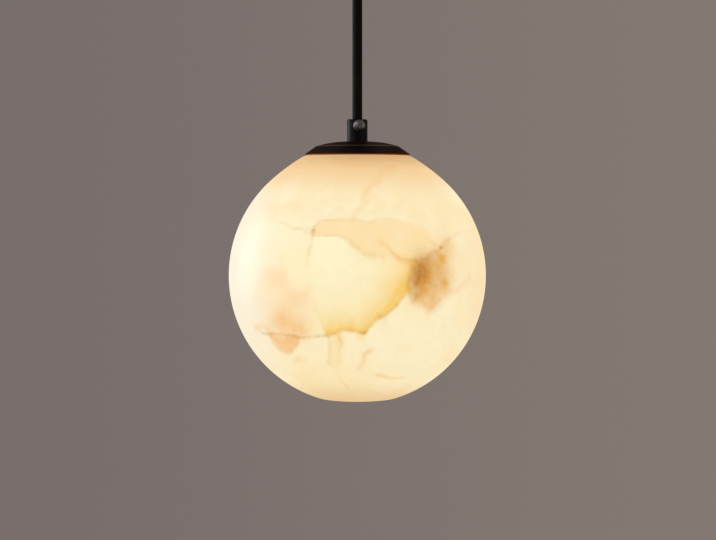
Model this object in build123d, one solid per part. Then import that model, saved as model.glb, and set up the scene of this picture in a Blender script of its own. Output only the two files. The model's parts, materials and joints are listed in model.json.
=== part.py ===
from build123d import *
import math
import os

# Pendant light: a hollow marble globe on a black flex under a small ceiling canopy.
# Units are millimetres. +Z is up and z = 0 is the ceiling; everything hangs on the Z axis.

# Clearances
ceiling_gap = 0.3
running_gap = 0.3
screw_gap = 0.05
hole_gap = 0.2
cord_gap = 0.25
cut_over = 1.0

# Marble globe
globe_d = 150.0
globe_wall = 6.0
neck_r = 26.0
lip_width = 4.8
shoulder_r = 120.0
shoulder_start_r = 50.0
base_arc_r = 150.0
base_flat = 1.3
base_blend_r = 40.0

# Threaded ring in the neck, and the silicone gasket on the lip
ring_wall = 1.9
ring_below_lip = 8.0
glue_gap = 0.1
gasket_t = 0.6
gasket_inset = 0.2

# Spun cap over the neck
cap_rise = 7.6
cap_wall = 1.0
skirt_height = 4.9
skirt_run = 6.7
seat_r = 9.0
hem_inset = 0.5
knuckle_round = 1.4

# Threaded fitter that carries the globe
fitter_wall = 1.2
fitter_depth = 15.0

# Flex
cord_d = 5.8
cord_show = 79.0
core_d = 1.9
core_spread = 1.25

# Cord grips: collar, bell mouth, M10 tail and side screw
lamp_grip_d = 12.0
lamp_grip_h = 13.0
lamp_mouth_depth = 3.75
lamp_tilt_deg = 15.0
lamp_screw_turn_deg = 11.0
canopy_grip_d = 14.0
canopy_grip_h = 13.2
canopy_mouth_depth = 4.0
swing_deg = 25.0
tail_r = 4.9
tail_past_nut = 2.0
collar_edge = 0.6
flat_depth = 0.8
grip_screw_r = 2.0
grip_head_r = 3.5
grip_head_h = 2.4
head_dome = 0.55
socket_af = 2.5
socket_depth = 1.3
thin_nut_af = 14.0
thin_nut_h = 3.0
nut_chamfer = 0.25
spacer_r = 7.5
canopy_washer_r = 10.0
canopy_washer_t = 1.0

# Strap that carries the lampholder
strap_width = 12.0
strap_t = 1.0
strap_bend_r = 2.0
strap_past_screw = 5.0

# Pin lampholder
holder_x = 24.0
holder_y = 14.0
holder_z = 20.0
holder_corner_r = 3.0
holder_drop = 18.5
holder_screw_down = 5.0
holder_screw_r = 1.5
holder_screw_l = 5.0
holder_screw_head_r = 2.7
holder_screw_head_h = 1.8
earth_screw_r = 1.5
earth_screw_head_r = 2.7
earth_screw_head_h = 1.8
earth_screw_past = 1.0
lamp_earth_down = 13.0
plug_x = 14.0
plug_y = 6.0
plug_z = 4.7
plug_corner_r = 1.0
pin_pitch = 9.0
pin_wire_d = 0.8
pin_loop_w = 3.2
pin_l = 6.0
pin_bend = 0.9
clip_t = 0.4
clip_w = 4.4
clip_h = 8.0
pin_gap = 0.1

# LED capsule bulb
bulb_d = 16.0
bulb_collar_h = 9.0
bulb_length = 51.7
bulb_cover_wall = 0.8
cover_inset = 0.2
bulb_shoulder = 1.5
board_w = 10.0
board_t = 1.0
board_end_gap = 0.5
chip_size = 2.0
chip_t = 0.6
chip_pitch = 4.5
chip_count = 6

# Canopy cup
canopy_d = 100.0
canopy_depth = 25.0
canopy_wall = 1.0
canopy_corner_r = 8.0
earth_stud_r = 2.0
earth_stud_l = 8.0
earth_x = 21.0
earth_y = -22.0

# Ceiling bracket
bracket_end_gap = 3.0
bracket_w = 20.0
bracket_t = 1.5
bracket_drop = 4.0
joggle_inset = 16.0
joggle_run = 3.0
slot_spacing = 44.0
slot_l = 12.0
slot_r = 2.5
cable_hole_r = 5.5
stud_inset = 8.0
stud_r = 2.0
stud_past_floor = 5.7
stud_head_r = 3.5
stud_head_h = 2.6
locknut_af = 7.0
locknut_h = 3.2
cap_nut_r = 5.0
cap_nut_h = 9.0
cap_nut_roof = 1.6
cap_nut_dome = 2.6

# Terminal block
block_x = 17.5
block_w = 16.5
block_l = 30.0
block_h = 13.0
pole_pitch = 10.0
pole_rise = 7.0
tube_r = 2.0
tube_bore_r = 1.0
tube_inset = 1.0
terminal_screw_r = 1.2
terminal_screw_h = 4.6
terminal_screw_x = 4.2
driver_slot_w = 0.5
driver_slot_depth = 0.8
notch_w = 2.0
notch_h = 3.0
core_in_tube = 2.5

# Wire routes
top_loop_r = 4.9
side_loop_r = 4.6
loop_flat = 0.4
loop_under_bracket = 2.5
core_exit_gap = 1.0
lug_t = 0.8
lug_r = 4.0
lug_barrel_r = 1.6
lug_barrel_l = 5.0
lug_stop = 1.0
earth_lead_past = 4.5
earth_lead_bend_r = 3.0
lamp_core_leave = 0.3
lamp_core_enter = 0.2
lamp_core_bend_r = 5.0
earth_turn_drop = 1.0
earth_turn_x = 2.0
earth_loop_y = -14.0
earth_loop_r = 3.4

# Levels, worked out downwards from the ceiling
canopy_rim_z = -ceiling_gap
canopy_under_z = canopy_rim_z - canopy_depth
canopy_floor_z = canopy_under_z + canopy_wall
canopy_mouth_z = canopy_under_z - canopy_grip_h
canopy_pivot_z = canopy_mouth_z + canopy_mouth_depth
lamp_mouth_z = canopy_mouth_z - cord_show
lamp_pivot_z = lamp_mouth_z - lamp_mouth_depth
cap_seat_z = lamp_mouth_z - lamp_grip_h
cap_base_z = cap_seat_z - cap_rise
lip_z = cap_base_z - gasket_t

# Globe outline, about its own centre
globe_r = globe_d / 2
globe_inner_r = globe_r - globe_wall
lip_r = neck_r + lip_width
shoulder_start = Vector(shoulder_start_r, math.sqrt(globe_r**2 - shoulder_start_r**2))
shoulder_centre = shoulder_start * (1 - shoulder_r / globe_r)
lip_up = shoulder_centre.Y + math.sqrt(shoulder_r**2 - (lip_r - shoulder_centre.X) ** 2)
globe_z = lip_z - lip_up
base_centre = Vector(0, base_arc_r - globe_r + base_flat)

# Radii shared by pieces that fit each other
cord_r = cord_d / 2
core_r = core_d / 2
ring_outer_r = neck_r - glue_gap
ring_inner_r = ring_outer_r - ring_wall
fitter_r = ring_inner_r - running_gap
fitter_flat_r = seat_r - cap_wall
tail_hole_r = tail_r + hole_gap
sheath_hole_r = cord_r + screw_gap
holder_half = holder_x / 2
strap_reach = holder_half + strap_t

# Stack under the cap's seat: fitter, spacer, strap, nut
seat_under_z = cap_seat_z - cap_wall
crown_slope = (cap_rise - skirt_height) / (lip_r - skirt_run - seat_r)
crown_under = (fitter_r - seat_r) * crown_slope + cap_wall * math.hypot(1, crown_slope)
fitter_knee_z = cap_seat_z - crown_under - running_gap
fitter_slope = (seat_under_z - fitter_knee_z) / (fitter_r - fitter_flat_r)
fitter_under_z = seat_under_z - fitter_wall
strap_corner_r = math.hypot(strap_reach, strap_width / 2)
strap_top_z = fitter_under_z - (strap_corner_r - fitter_flat_r) * fitter_slope - hole_gap
strap_under_z = strap_top_z - strap_t
lamp_nut_under_z = strap_under_z - thin_nut_h
lamp_tail_end_z = lamp_nut_under_z - tail_past_nut

# Lampholder and bulb
holder_top_z = strap_under_z - holder_drop
holder_bottom_z = holder_top_z - holder_z
holder_screw_z = holder_top_z - holder_screw_down
recess_top_z = holder_bottom_z + plug_z + running_gap
clip_top_z = recess_top_z + clip_h
lamp_earth_z = strap_under_z - lamp_earth_down
bulb_top_z = holder_bottom_z - running_gap
bulb_end_z = bulb_top_z - bulb_length
cover_r = bulb_d / 2 - cover_inset
cover_inner_r = cover_r - bulb_cover_wall
cover_top_z = bulb_top_z - bulb_collar_h
cover_bend_z = bulb_end_z + cover_r

# Canopy stack
canopy_nut_top_z = canopy_floor_z + canopy_washer_t + thin_nut_h
canopy_tail_end_z = canopy_nut_top_z + tail_past_nut
pole_z = canopy_floor_z + pole_rise

# Bracket and studs, from the canopy that covers them
bracket_half = canopy_d / 2 - canopy_wall - bracket_end_gap
stud_x = bracket_half - stud_inset
joggle_x = bracket_half - joggle_inset


def cylinder(radius, low, high):
    """A round bar on the Z axis between two heights."""
    return Pos(0, 0, low) * Cylinder(radius, high - low, align=(Align.CENTER, Align.CENTER, Align.MIN))


def tube(outer, inner, low, high):
    """A round wall on the Z axis between two heights."""
    return cylinder(outer, low, high) - cylinder(inner, low, high)


def cone(low_r, high_r, low, high):
    """A cone on the Z axis between two heights."""
    return Pos(0, 0, low) * Cone(low_r, high_r, high - low, align=(Align.CENTER, Align.CENTER, Align.MIN))


def block(x, y, z):
    """A box between two values on each axis."""
    sizes = (x[1] - x[0], y[1] - y[0], z[1] - z[0])
    return Pos(x[0], y[0], z[0]) * Box(*sizes, align=(Align.MIN, Align.MIN, Align.MIN))


def hexagon(flats, low, high):
    """A hexagonal bar on the Z axis between two heights."""
    outline = RegularPolygon(flats / 2, 6, major_radius=False)
    return Pos(0, 0, low) * extrude(outline, high - low)


def turned(outline):
    """The solid of revolution of an outline drawn as (radius, height)."""
    return revolve(Plane.XZ * make_face(outline), Axis.Z)


def polygon(points):
    """A closed outline through points."""
    return Polyline(*points, close=True)


def arc_about(centre, start, end):
    """The short arc from start to end about a centre."""
    start = Vector(*start)
    end = Vector(*end)
    middle = (start + end) * 0.5 - centre
    middle = centre + middle.normalized() * (start - centre).length
    return ThreePointArc(start, middle, end)


def domed(radius, low, high, dome):
    """A round bar whose top end is a shallow dome."""
    sphere_r = (radius**2 + dome**2) / (2 * dome)
    side = (radius, high - dome)
    crown = (0, high)
    outline = [Line((0, low), (radius, low)), Line((radius, low), side)]
    outline.append(arc_about(Vector(0, high - sphere_r), side, crown))
    outline.append(Line(crown, (0, low)))
    return turned(outline)


def screw(shank_r, length, head_r, head_h, recess):
    """A domed-head screw: the head's underside is at z = 0 and the shank hangs below it."""
    head = domed(head_r, 0, head_h, head_h * head_dome)
    return head + cylinder(shank_r, -length, 0) - recess


def cord_grip(outer_r, height, mouth_depth, swing, tail_l):
    """A collar from its seat at z = 0 up to the bell mouth, with the threaded tail below."""
    throat_r = throat(swing)
    mouth_r = throat_r + mouth_depth * math.tan(math.radians(swing))
    pivot = height - mouth_depth
    step = pivot - cord_r - running_gap
    body = cylinder(outer_r, 0, height)
    body = chamfer(body.edges().group_by(Axis.Z)[-1], collar_edge)
    body += cylinder(tail_r, -tail_l, 0)
    body -= cylinder(sheath_hole_r, -tail_l, step)
    body -= cylinder(throat_r, step, pivot)
    body -= cone(throat_r, mouth_r, pivot, height)
    flat = outer_r - flat_depth
    side = Pos(0, 0, pivot) * Rot(0, 90, 0)
    body -= side * cylinder(grip_screw_r + screw_gap, 0, outer_r)
    body -= side * cylinder(grip_head_r + hole_gap, flat, outer_r + cut_over)
    return body


def throat(swing):
    """The radius that lets the flex lean by an angle where it pivots."""
    return cord_r / math.cos(math.radians(swing)) + cord_gap


def grip_screw(outer_r, swing):
    """The side screw of a cord grip, along +X, with its tip just clear of the flex."""
    flat = outer_r - flat_depth
    length = flat + screw_gap - throat(swing) - hole_gap
    recess = hexagon(socket_af, grip_head_h - socket_depth, grip_head_h + cut_over)
    piece = screw(grip_screw_r, length, grip_head_r, grip_head_h, recess)
    return Rot(0, 90, 0) * Pos(0, 0, flat + screw_gap) * piece


def sheath(low, high):
    """A stretch of flex sheath that a grip clamps."""
    return cylinder(cord_r, low, high)


def wire(name, points, radii):
    """A round core along straight runs joined by arcs."""
    path = FilletPolyline(*points, radius=radii)
    section = Plane(origin=path @ 0, z_dir=path % 0) * Circle(core_r)
    solid = sweep(section, path=path)
    ratio = solid.volume / (math.pi * core_r**2 * path.length)
    print(f"{name}: bend radii {radii}, volume over section times length {ratio:.4f}")
    return solid


def ring_nut(flats, hole_r, low, high):
    """A hexagonal nut with chamfered corners."""
    body = hexagon(flats, low, high)
    reach = flats / 2 / math.cos(math.pi / 6)
    trim = (high - low) * nut_chamfer
    limit = cone(reach - trim, reach + (high - low) - trim, low, high)
    limit &= cone(reach + (high - low) - trim, reach - trim, low, high)
    return (body & limit) - cylinder(hole_r, low, high)


def lug(hole_r):
    """A ring lug flat on z = 0 about the Z axis, with its barrel along +X."""
    plate = cylinder(lug_r, 0, lug_t)
    neck = block((0, lug_r + lug_stop), (-lug_barrel_r, lug_barrel_r), (0, lug_t))
    along = Pos(lug_r, 0, lug_barrel_r) * Rot(0, 90, 0)
    barrel = along * cylinder(lug_barrel_r, 0, lug_barrel_l)
    mouth = along * cylinder(core_r + screw_gap, lug_stop, lug_barrel_l)
    return plate + neck + barrel - mouth - cylinder(hole_r, 0, lug_t)


def globe_halves():
    """The marble shell, two bonded halves: flatter base, full shoulders and a ground lip."""
    blend = base_centre.Y
    blend_z = (globe_r - base_blend_r) ** 2 - (base_arc_r - base_blend_r) ** 2 + blend**2
    blend_z /= 2 * blend
    blend_x = math.sqrt((globe_r - base_blend_r) ** 2 - blend_z**2)
    blend_centre = Vector(blend_x, blend_z)
    side_end = blend_centre.normalized() * globe_r
    base_end = base_centre + (blend_centre - base_centre).normalized() * base_arc_r
    centre = Vector(0, 0)
    base = (0, base_flat - globe_r)
    lip = (lip_r, lip_up)
    mouth = (neck_r, lip_up)
    neck_foot = (neck_r, math.sqrt(globe_inner_r**2 - neck_r**2))
    floor = (0, -globe_inner_r)
    outline = [
        arc_about(base_centre, base, base_end),
        arc_about(blend_centre, base_end, side_end),
        arc_about(centre, side_end, shoulder_start),
        arc_about(shoulder_centre, shoulder_start, lip),
        Line(lip, mouth),
        Line(mouth, neck_foot),
        arc_about(centre, neck_foot, floor),
        Line(floor, base),
    ]
    shell = turned(outline)
    across = (-globe_r, globe_r)
    upper = block(across, across, (0, globe_r))
    return Pos(0, 0, globe_z) * (shell & upper), Pos(0, 0, globe_z) * (shell - upper)


def globe_ring():
    """The threaded insert glued in the globe's neck."""
    return tube(ring_outer_r, ring_inner_r, lip_z - ring_below_lip, lip_z)


def gasket():
    """The flat silicone ring between the lip and the cap."""
    return tube(lip_r - gasket_inset, neck_r + hem_inset, lip_z, cap_base_z)


def cap():
    """The spun cap: seat, sloping crown, steep skirt and a hem turned in under it."""
    knuckle_r = lip_r - skirt_run
    outside = [(lip_r, 0), (knuckle_r, skirt_height), (seat_r, cap_rise)]
    shell = turned(polygon([(0, 0), *outside, (0, cap_rise)]))
    cavity = make_face(polygon([(-cap_wall, 0), *outside, (-cap_wall, cap_rise)]))
    cavity = offset(cavity, -cap_wall, kind=Kind.INTERSECTION)
    shell = fillet(shell.edges().filter_by(GeomType.CIRCLE).group_by(Axis.Z)[1], knuckle_round)
    shell -= revolve(Plane.XZ * cavity, Axis.Z)
    shell -= cylinder(neck_r + hem_inset, 0, cap_wall)
    shell -= cylinder(tail_hole_r, 0, cap_rise)
    return Pos(0, 0, cap_base_z) * shell


def fitter():
    """The threaded gallery: a plate under the cap, a cone, and the wall that the ring screws on to."""
    foot_z = seat_under_z - fitter_depth
    low = foot_z - fitter_wall
    upper = [(fitter_r, fitter_knee_z), (fitter_flat_r, seat_under_z)]
    body = turned(polygon([(0, foot_z), (fitter_r, foot_z), *upper, (0, seat_under_z)]))
    cavity = [(-fitter_wall, low), (fitter_r, low), *upper, (-fitter_wall, seat_under_z)]
    cavity = offset(make_face(polygon(cavity)), -fitter_wall, kind=Kind.INTERSECTION)
    return body - revolve(Plane.XZ * cavity, Axis.Z) - cylinder(tail_hole_r, foot_z, seat_under_z)


def strap():
    """The bent strap whose arms hold the lampholder."""
    foot_z = holder_screw_z - strap_past_screw
    wide = (-strap_width / 2, strap_width / 2)
    outer = block((-strap_reach, strap_reach), wide, (foot_z, strap_top_z))
    outer = fillet(outer.edges().filter_by(Axis.Y).group_by(Axis.Z)[-1], strap_bend_r)
    inner = block((-holder_half, holder_half), wide, (foot_z, strap_under_z))
    inner = fillet(inner.edges().filter_by(Axis.Y).group_by(Axis.Z)[-1], strap_bend_r - strap_t)
    body = outer - inner - cylinder(tail_hole_r, strap_under_z, strap_top_z)
    across = Rot(0, 90, 0) * cylinder(holder_screw_r + hole_gap, -strap_reach, strap_reach)
    body -= Pos(0, 0, holder_screw_z) * across
    earth = Rot(0, 90, 0) * cylinder(earth_screw_r + screw_gap, 0, strap_reach)
    return body - Pos(0, 0, lamp_earth_z) * earth


def holder():
    """The ceramic lampholder: plug recess, pin wells and wire holes."""
    body = block((-holder_half, holder_half), (-holder_y / 2, holder_y / 2), (holder_bottom_z, holder_top_z))
    body = fillet(body.edges().filter_by(Axis.Z), holder_corner_r)
    half_x = plug_x / 2 + running_gap
    half_y = plug_y / 2 + running_gap
    body -= block((-half_x, half_x), (-half_y, half_y), (holder_bottom_z, recess_top_z))
    well_x = pin_wire_d / 2 + pin_gap + clip_t + screw_gap
    well_y = clip_w / 2 + screw_gap
    across = Rot(0, 90, 0) * cylinder(holder_screw_r + screw_gap, holder_half - holder_screw_l, holder_half)
    for side in (-1, 1):
        place = Pos(side * pin_pitch / 2, 0, 0)
        body -= place * block((-well_x, well_x), (-well_y, well_y), (recess_top_z, clip_top_z))
        body -= place * cylinder(core_r + screw_gap, clip_top_z, holder_top_z)
        turn = 0 if side > 0 else 180
        body -= Pos(0, 0, holder_screw_z) * Rot(0, 0, turn) * across
    return body


def holder_contacts():
    """Two sprung clips, each with two leaves beside a pin and a bridge over it."""
    gap = pin_wire_d / 2 + pin_gap
    half_w = clip_w / 2
    bridge_z = clip_top_z - clip_t
    leaf = block((gap, gap + clip_t), (-half_w, half_w), (recess_top_z, clip_top_z))
    bridge = block((-gap, gap), (-half_w, half_w), (bridge_z, clip_top_z))
    clip = leaf + mirror(leaf, Plane.YZ) + bridge
    return [Pos(side * pin_pitch / 2, 0, 0) * clip for side in (-1, 1)]


def holder_screws():
    """The two screws through the strap's arms into the lampholder."""
    recess = hexagon(holder_screw_r, holder_screw_head_h / 2, holder_screw_head_h + cut_over)
    length = holder_screw_l + strap_t
    piece = screw(holder_screw_r, length, holder_screw_head_r, holder_screw_head_h, recess)
    out = Pos(0, 0, holder_screw_z) * Rot(0, 90, 0) * Pos(0, 0, holder_half + strap_t) * piece
    return [out, Rot(0, 0, 180) * out]


def bulb_base():
    """The bulb's plug and round collar."""
    plug = block(
        (-plug_x / 2, plug_x / 2), (-plug_y / 2, plug_y / 2), (bulb_top_z, bulb_top_z + plug_z)
    )
    plug = fillet(plug.edges().filter_by(Axis.Z), plug_corner_r)
    collar = cylinder(bulb_d / 2, bulb_top_z - bulb_collar_h, bulb_top_z)
    collar = chamfer(collar.edges().group_by(Axis.Z)[-1], bulb_shoulder)
    return plug + collar


def bulb_pins():
    """Two loops of pin wire standing on the plug."""
    pins = []
    foot_z = bulb_top_z + plug_z
    half = pin_loop_w / 2
    top = foot_z + pin_l - pin_wire_d / 2
    for side in (-1, 1):
        x = side * pin_pitch / 2
        points = [(x, -half, foot_z), (x, -half, top), (x, half, top), (x, half, foot_z)]
        path = FilletPolyline(*points, radius=half * pin_bend)
        section = Plane(origin=path @ 0, z_dir=path % 0) * Circle(pin_wire_d / 2)
        pins.append(sweep(section, path=path))
    return pins


def bulb_cover():
    """The frosted capsule with a domed end."""
    bend = Vector(0, cover_bend_z)
    floor = (0, bulb_end_z + bulb_cover_wall)
    outline = [
        Line((cover_inner_r, cover_top_z), (cover_r, cover_top_z)),
        Line((cover_r, cover_top_z), (cover_r, cover_bend_z)),
        arc_about(bend, (cover_r, cover_bend_z), (0, bulb_end_z)),
        Line((0, bulb_end_z), floor),
        arc_about(bend, floor, (cover_inner_r, cover_bend_z)),
        Line((cover_inner_r, cover_bend_z), (cover_inner_r, cover_top_z)),
    ]
    return turned(outline)


def bulb_board():
    """The board in the capsule, with its row of light chips on both faces."""
    half_w = board_w / 2
    half_t = board_t / 2
    foot = cover_bend_z + board_end_gap - math.sqrt(cover_inner_r**2 - half_w**2 - half_t**2)
    body = block((-half_w, half_w), (-half_t, half_t), (foot, cover_top_z))
    first = (cover_top_z + foot) / 2 - chip_pitch * (chip_count - 1) / 2
    for i in range(chip_count):
        level = first + i * chip_pitch
        depth = half_t + chip_t
        half = chip_size / 2
        body += block((-half, half), (-depth, depth), (level - half, level + half))
    return body


def canopy_cup():
    """The spun canopy with its centre hole, two stud holes and welded earth stud."""
    r = canopy_d / 2
    cup = cylinder(r, canopy_under_z, canopy_rim_z)
    cup = fillet(cup.edges().group_by(Axis.Z)[0], canopy_corner_r)
    hollow = cylinder(r - canopy_wall, canopy_floor_z, canopy_rim_z)
    hollow = fillet(hollow.edges().group_by(Axis.Z)[0], canopy_corner_r - canopy_wall)
    cup -= hollow
    cup -= cylinder(tail_hole_r, canopy_under_z, canopy_floor_z)
    for side in (-1, 1):
        hole = cylinder(stud_r + hole_gap, canopy_under_z, canopy_floor_z)
        cup -= Pos(side * stud_x, 0, 0) * hole
    stud = cylinder(earth_stud_r, canopy_floor_z, canopy_floor_z + earth_stud_l)
    return cup + Pos(earth_x, earth_y, 0) * stud


def bracket():
    """The ceiling strip: flat against the ceiling, with both ends joggled down for the studs."""
    end = joggle_x + joggle_run
    t = bracket_t
    top = [(-bracket_half, -bracket_drop), (-end, -bracket_drop), (-joggle_x, 0), (joggle_x, 0)]
    top += [(end, -bracket_drop), (bracket_half, -bracket_drop)]
    under = [(x, z - t) for x, z in reversed(top)]
    strip = extrude(Plane.XZ * make_face(polygon(top + under)), bracket_w / 2, both=True)
    strip = fillet(strip.edges().filter_by(Axis.Z), t)
    strip -= cylinder(cable_hole_r, -t, 0)
    for side in (-1, 1):
        run = slot_l - 2 * slot_r
        middle = side * slot_spacing / 2
        slot = block((middle - run / 2, middle + run / 2), (-slot_r, slot_r), (-t, 0))
        slot += Pos(middle - run / 2, 0, 0) * cylinder(slot_r, -t, 0)
        slot += Pos(middle + run / 2, 0, 0) * cylinder(slot_r, -t, 0)
        strip -= slot
        hole = cylinder(stud_r + screw_gap, -bracket_drop - t, -bracket_drop)
        strip -= Pos(side * stud_x, 0, 0) * hole
    return strip


def mounting_studs():
    """Two long screws that hang through the bracket's ends and the canopy's floor."""
    tip = canopy_under_z - stud_past_floor
    recess = hexagon(socket_af, stud_head_h - socket_depth, stud_head_h + cut_over)
    piece = screw(stud_r, -bracket_drop - tip, stud_head_r, stud_head_h, recess)
    return [Pos(side * stud_x, 0, -bracket_drop) * piece for side in (-1, 1)]


def stud_locknuts():
    """The nuts that lock the studs under the bracket."""
    top = -bracket_drop - bracket_t
    nut = ring_nut(locknut_af, stud_r + screw_gap, top - locknut_h, top)
    return [Pos(side * stud_x, 0, 0) * nut for side in (-1, 1)]


def cap_nut(side):
    """A domed nut that holds the canopy up on a stud."""
    body = domed(cap_nut_r, 0, cap_nut_h, cap_nut_dome)
    body -= cylinder(stud_r + screw_gap, 0, cap_nut_h - cap_nut_roof)
    return Pos(side * stud_x, 0, canopy_under_z - screw_gap) * Rot(180, 0, 0) * body


def canopy_grip():
    """The grip under the canopy: the lamp's grip turned over, with its screw along +X."""
    tail_l = canopy_tail_end_z - canopy_under_z
    body = cord_grip(canopy_grip_d / 2, canopy_grip_h, canopy_mouth_depth, swing_deg, tail_l)
    return Pos(0, 0, canopy_under_z) * Rot(180, 0, 0) * body


def lamp_grip():
    """The grip on the cap, with its screw turned a little from the front."""
    tail_l = cap_seat_z - lamp_tail_end_z
    body = cord_grip(lamp_grip_d / 2, lamp_grip_h, lamp_mouth_depth, lamp_tilt_deg, tail_l)
    return Pos(0, 0, cap_seat_z) * Rot(0, 0, lamp_screw_turn_deg - 90) * body


def cord():
    """The flex between the two pivots, with a round end at each."""
    body = cylinder(cord_r, lamp_pivot_z, canopy_pivot_z)
    return body + Pos(0, 0, lamp_pivot_z) * Sphere(cord_r) + Pos(0, 0, canopy_pivot_z) * Sphere(cord_r)


def terminal_block():
    """The moulded block: a bore and two screw chimneys for each pole, and notches between poles."""
    x = (block_x, block_x + block_w)
    top = canopy_floor_z + block_h
    body = block(x, (-block_l / 2, block_l / 2), (canopy_floor_z, top))
    middle = block_x + block_w / 2
    for pole in (-1, 0, 1):
        y = pole * pole_pitch
        bore = Pos(block_x, y, pole_z) * Rot(0, 90, 0) * cylinder(tube_r + screw_gap, 0, block_w)
        body -= bore
        for side in (-1, 1):
            chimney = cylinder(terminal_screw_r + hole_gap, pole_z, top)
            body -= Pos(middle + side * terminal_screw_x, y, 0) * chimney
    for side in (-1, 1):
        y = side * pole_pitch / 2
        body -= block(x, (y - notch_w / 2, y + notch_w / 2), (top - notch_h, top))
    return body


def terminal_tubes():
    """The brass tube of each pole."""
    tubes = []
    middle = block_w / 2
    for pole in (-1, 0, 1):
        body = tube(tube_r, tube_bore_r, tube_inset, block_w - tube_inset)
        body = Rot(0, 90, 0) * body
        for side in (-1, 1):
            hole = cylinder(terminal_screw_r + screw_gap, 0, tube_r + cut_over)
            body -= Pos(middle + side * terminal_screw_x, 0, 0) * hole
        tubes.append(Pos(block_x, pole * pole_pitch, pole_z) * body)
    return tubes


def terminal_screws():
    """The six screws that clamp the cores."""
    screws = []
    low = pole_z + tube_bore_r + screw_gap
    high = low + terminal_screw_h
    half_slot = driver_slot_w / 2
    body = cylinder(terminal_screw_r, low, high)
    across = (-terminal_screw_r, terminal_screw_r)
    body -= block(across, (-half_slot, half_slot), (high - driver_slot_depth, high))
    for pole in (-1, 0, 1):
        for side in (-1, 1):
            x = block_x + block_w / 2 + side * terminal_screw_x
            screws.append(Pos(x, pole * pole_pitch, 0) * body)
    return screws


def canopy_cores():
    """The flex's cores in the canopy: up out of the sheath, over and down into the block."""
    low = canopy_tail_end_z + core_exit_gap
    loop_x = 2 * top_loop_r + core_spread + loop_flat
    high = -bracket_t - loop_under_bracket - core_r
    end_x = block_x + core_in_tube
    names = ["canopy_core_live", "canopy_core_neutral", "canopy_core_earth"]
    cores = {}
    for name, pole, turn in zip(names, (1, 0, -1), (120, 0, 240)):
        x = core_spread * math.cos(math.radians(turn))
        y = core_spread * math.sin(math.radians(turn))
        across = pole * pole_pitch
        points = [(x, y, low), (x, y, high), (loop_x, across, high)]
        points += [(loop_x, across, pole_z), (end_x, across, pole_z)]
        cores[name] = wire(name, points, [top_loop_r, top_loop_r, side_loop_r])
    return cores


def canopy_earth_lead():
    """The short earth wire from the block to the lug on the canopy's stud."""
    start_x = block_x + block_w - core_in_tube
    out_x = block_x + block_w + earth_lead_past
    lug_z = canopy_floor_z + lug_barrel_r
    end_x = earth_x + lug_r + lug_stop
    start = (start_x, -pole_pitch, pole_z)
    points = [start, (out_x, -pole_pitch, pole_z), (out_x, earth_y, lug_z), (end_x, earth_y, lug_z)]
    return wire("canopy_earth_lead", points, [earth_lead_bend_r, earth_lead_bend_r])


def canopy_earth_lug():
    """The lug on the canopy's earth stud."""
    return Pos(earth_x, earth_y, canopy_floor_z) * lug(earth_stud_r + screw_gap)


def canopy_earth_nut():
    """The nut on the canopy's earth stud."""
    low = canopy_floor_z + lug_t
    nut = ring_nut(locknut_af, earth_stud_r + screw_gap, low, low + locknut_h)
    return Pos(earth_x, earth_y, 0) * nut


def lamp_cores():
    """Live and neutral, from the sheath down into the lampholder's wire holes."""
    high = lamp_tail_end_z - core_exit_gap
    cores = {}
    for name, side in (("lamp_core_live", 1), ("lamp_core_neutral", -1)):
        x = side * core_spread
        end_x = side * pin_pitch / 2
        fall = high - holder_top_z
        points = [(x, 0, high), (x, 0, high - fall * lamp_core_leave)]
        points += [(end_x, 0, holder_top_z + fall * lamp_core_enter), (end_x, 0, clip_top_z)]
        cores[name] = wire(name, points, [lamp_core_bend_r, lamp_core_bend_r])
    return cores


def lamp_core_earth():
    """The earth core, looped sideways to the lug on the strap."""
    high = lamp_tail_end_z - core_exit_gap
    turn_z = lamp_earth_z - earth_turn_drop
    lug_x = holder_half - lug_barrel_r
    y = -core_spread - core_r
    end_y = -lug_r - lug_stop
    points = [(0, y, high), (0, y, turn_z), (earth_turn_x, earth_loop_y, turn_z)]
    points += [(lug_x, earth_loop_y, lamp_earth_z), (lug_x, end_y, lamp_earth_z)]
    return wire("lamp_core_earth", points, [earth_loop_r] * 3)


def lamp_earth_lug():
    """The lug on the strap's arm, with its barrel towards the front."""
    piece = Rot(0, -90, 0) * Rot(0, 0, -90) * lug(earth_screw_r + hole_gap)
    return Pos(holder_half, 0, lamp_earth_z) * piece


def lamp_earth_screw():
    """The screw that holds the lug on the strap's arm."""
    recess = hexagon(holder_screw_r, earth_screw_head_h / 2, earth_screw_head_h + cut_over)
    length = strap_t + lug_t + earth_screw_past
    piece = screw(earth_screw_r, length, earth_screw_head_r, earth_screw_head_h, recess)
    piece = Rot(0, -90, 0) * piece
    return Pos(holder_half - lug_t, 0, lamp_earth_z) * piece


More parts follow.
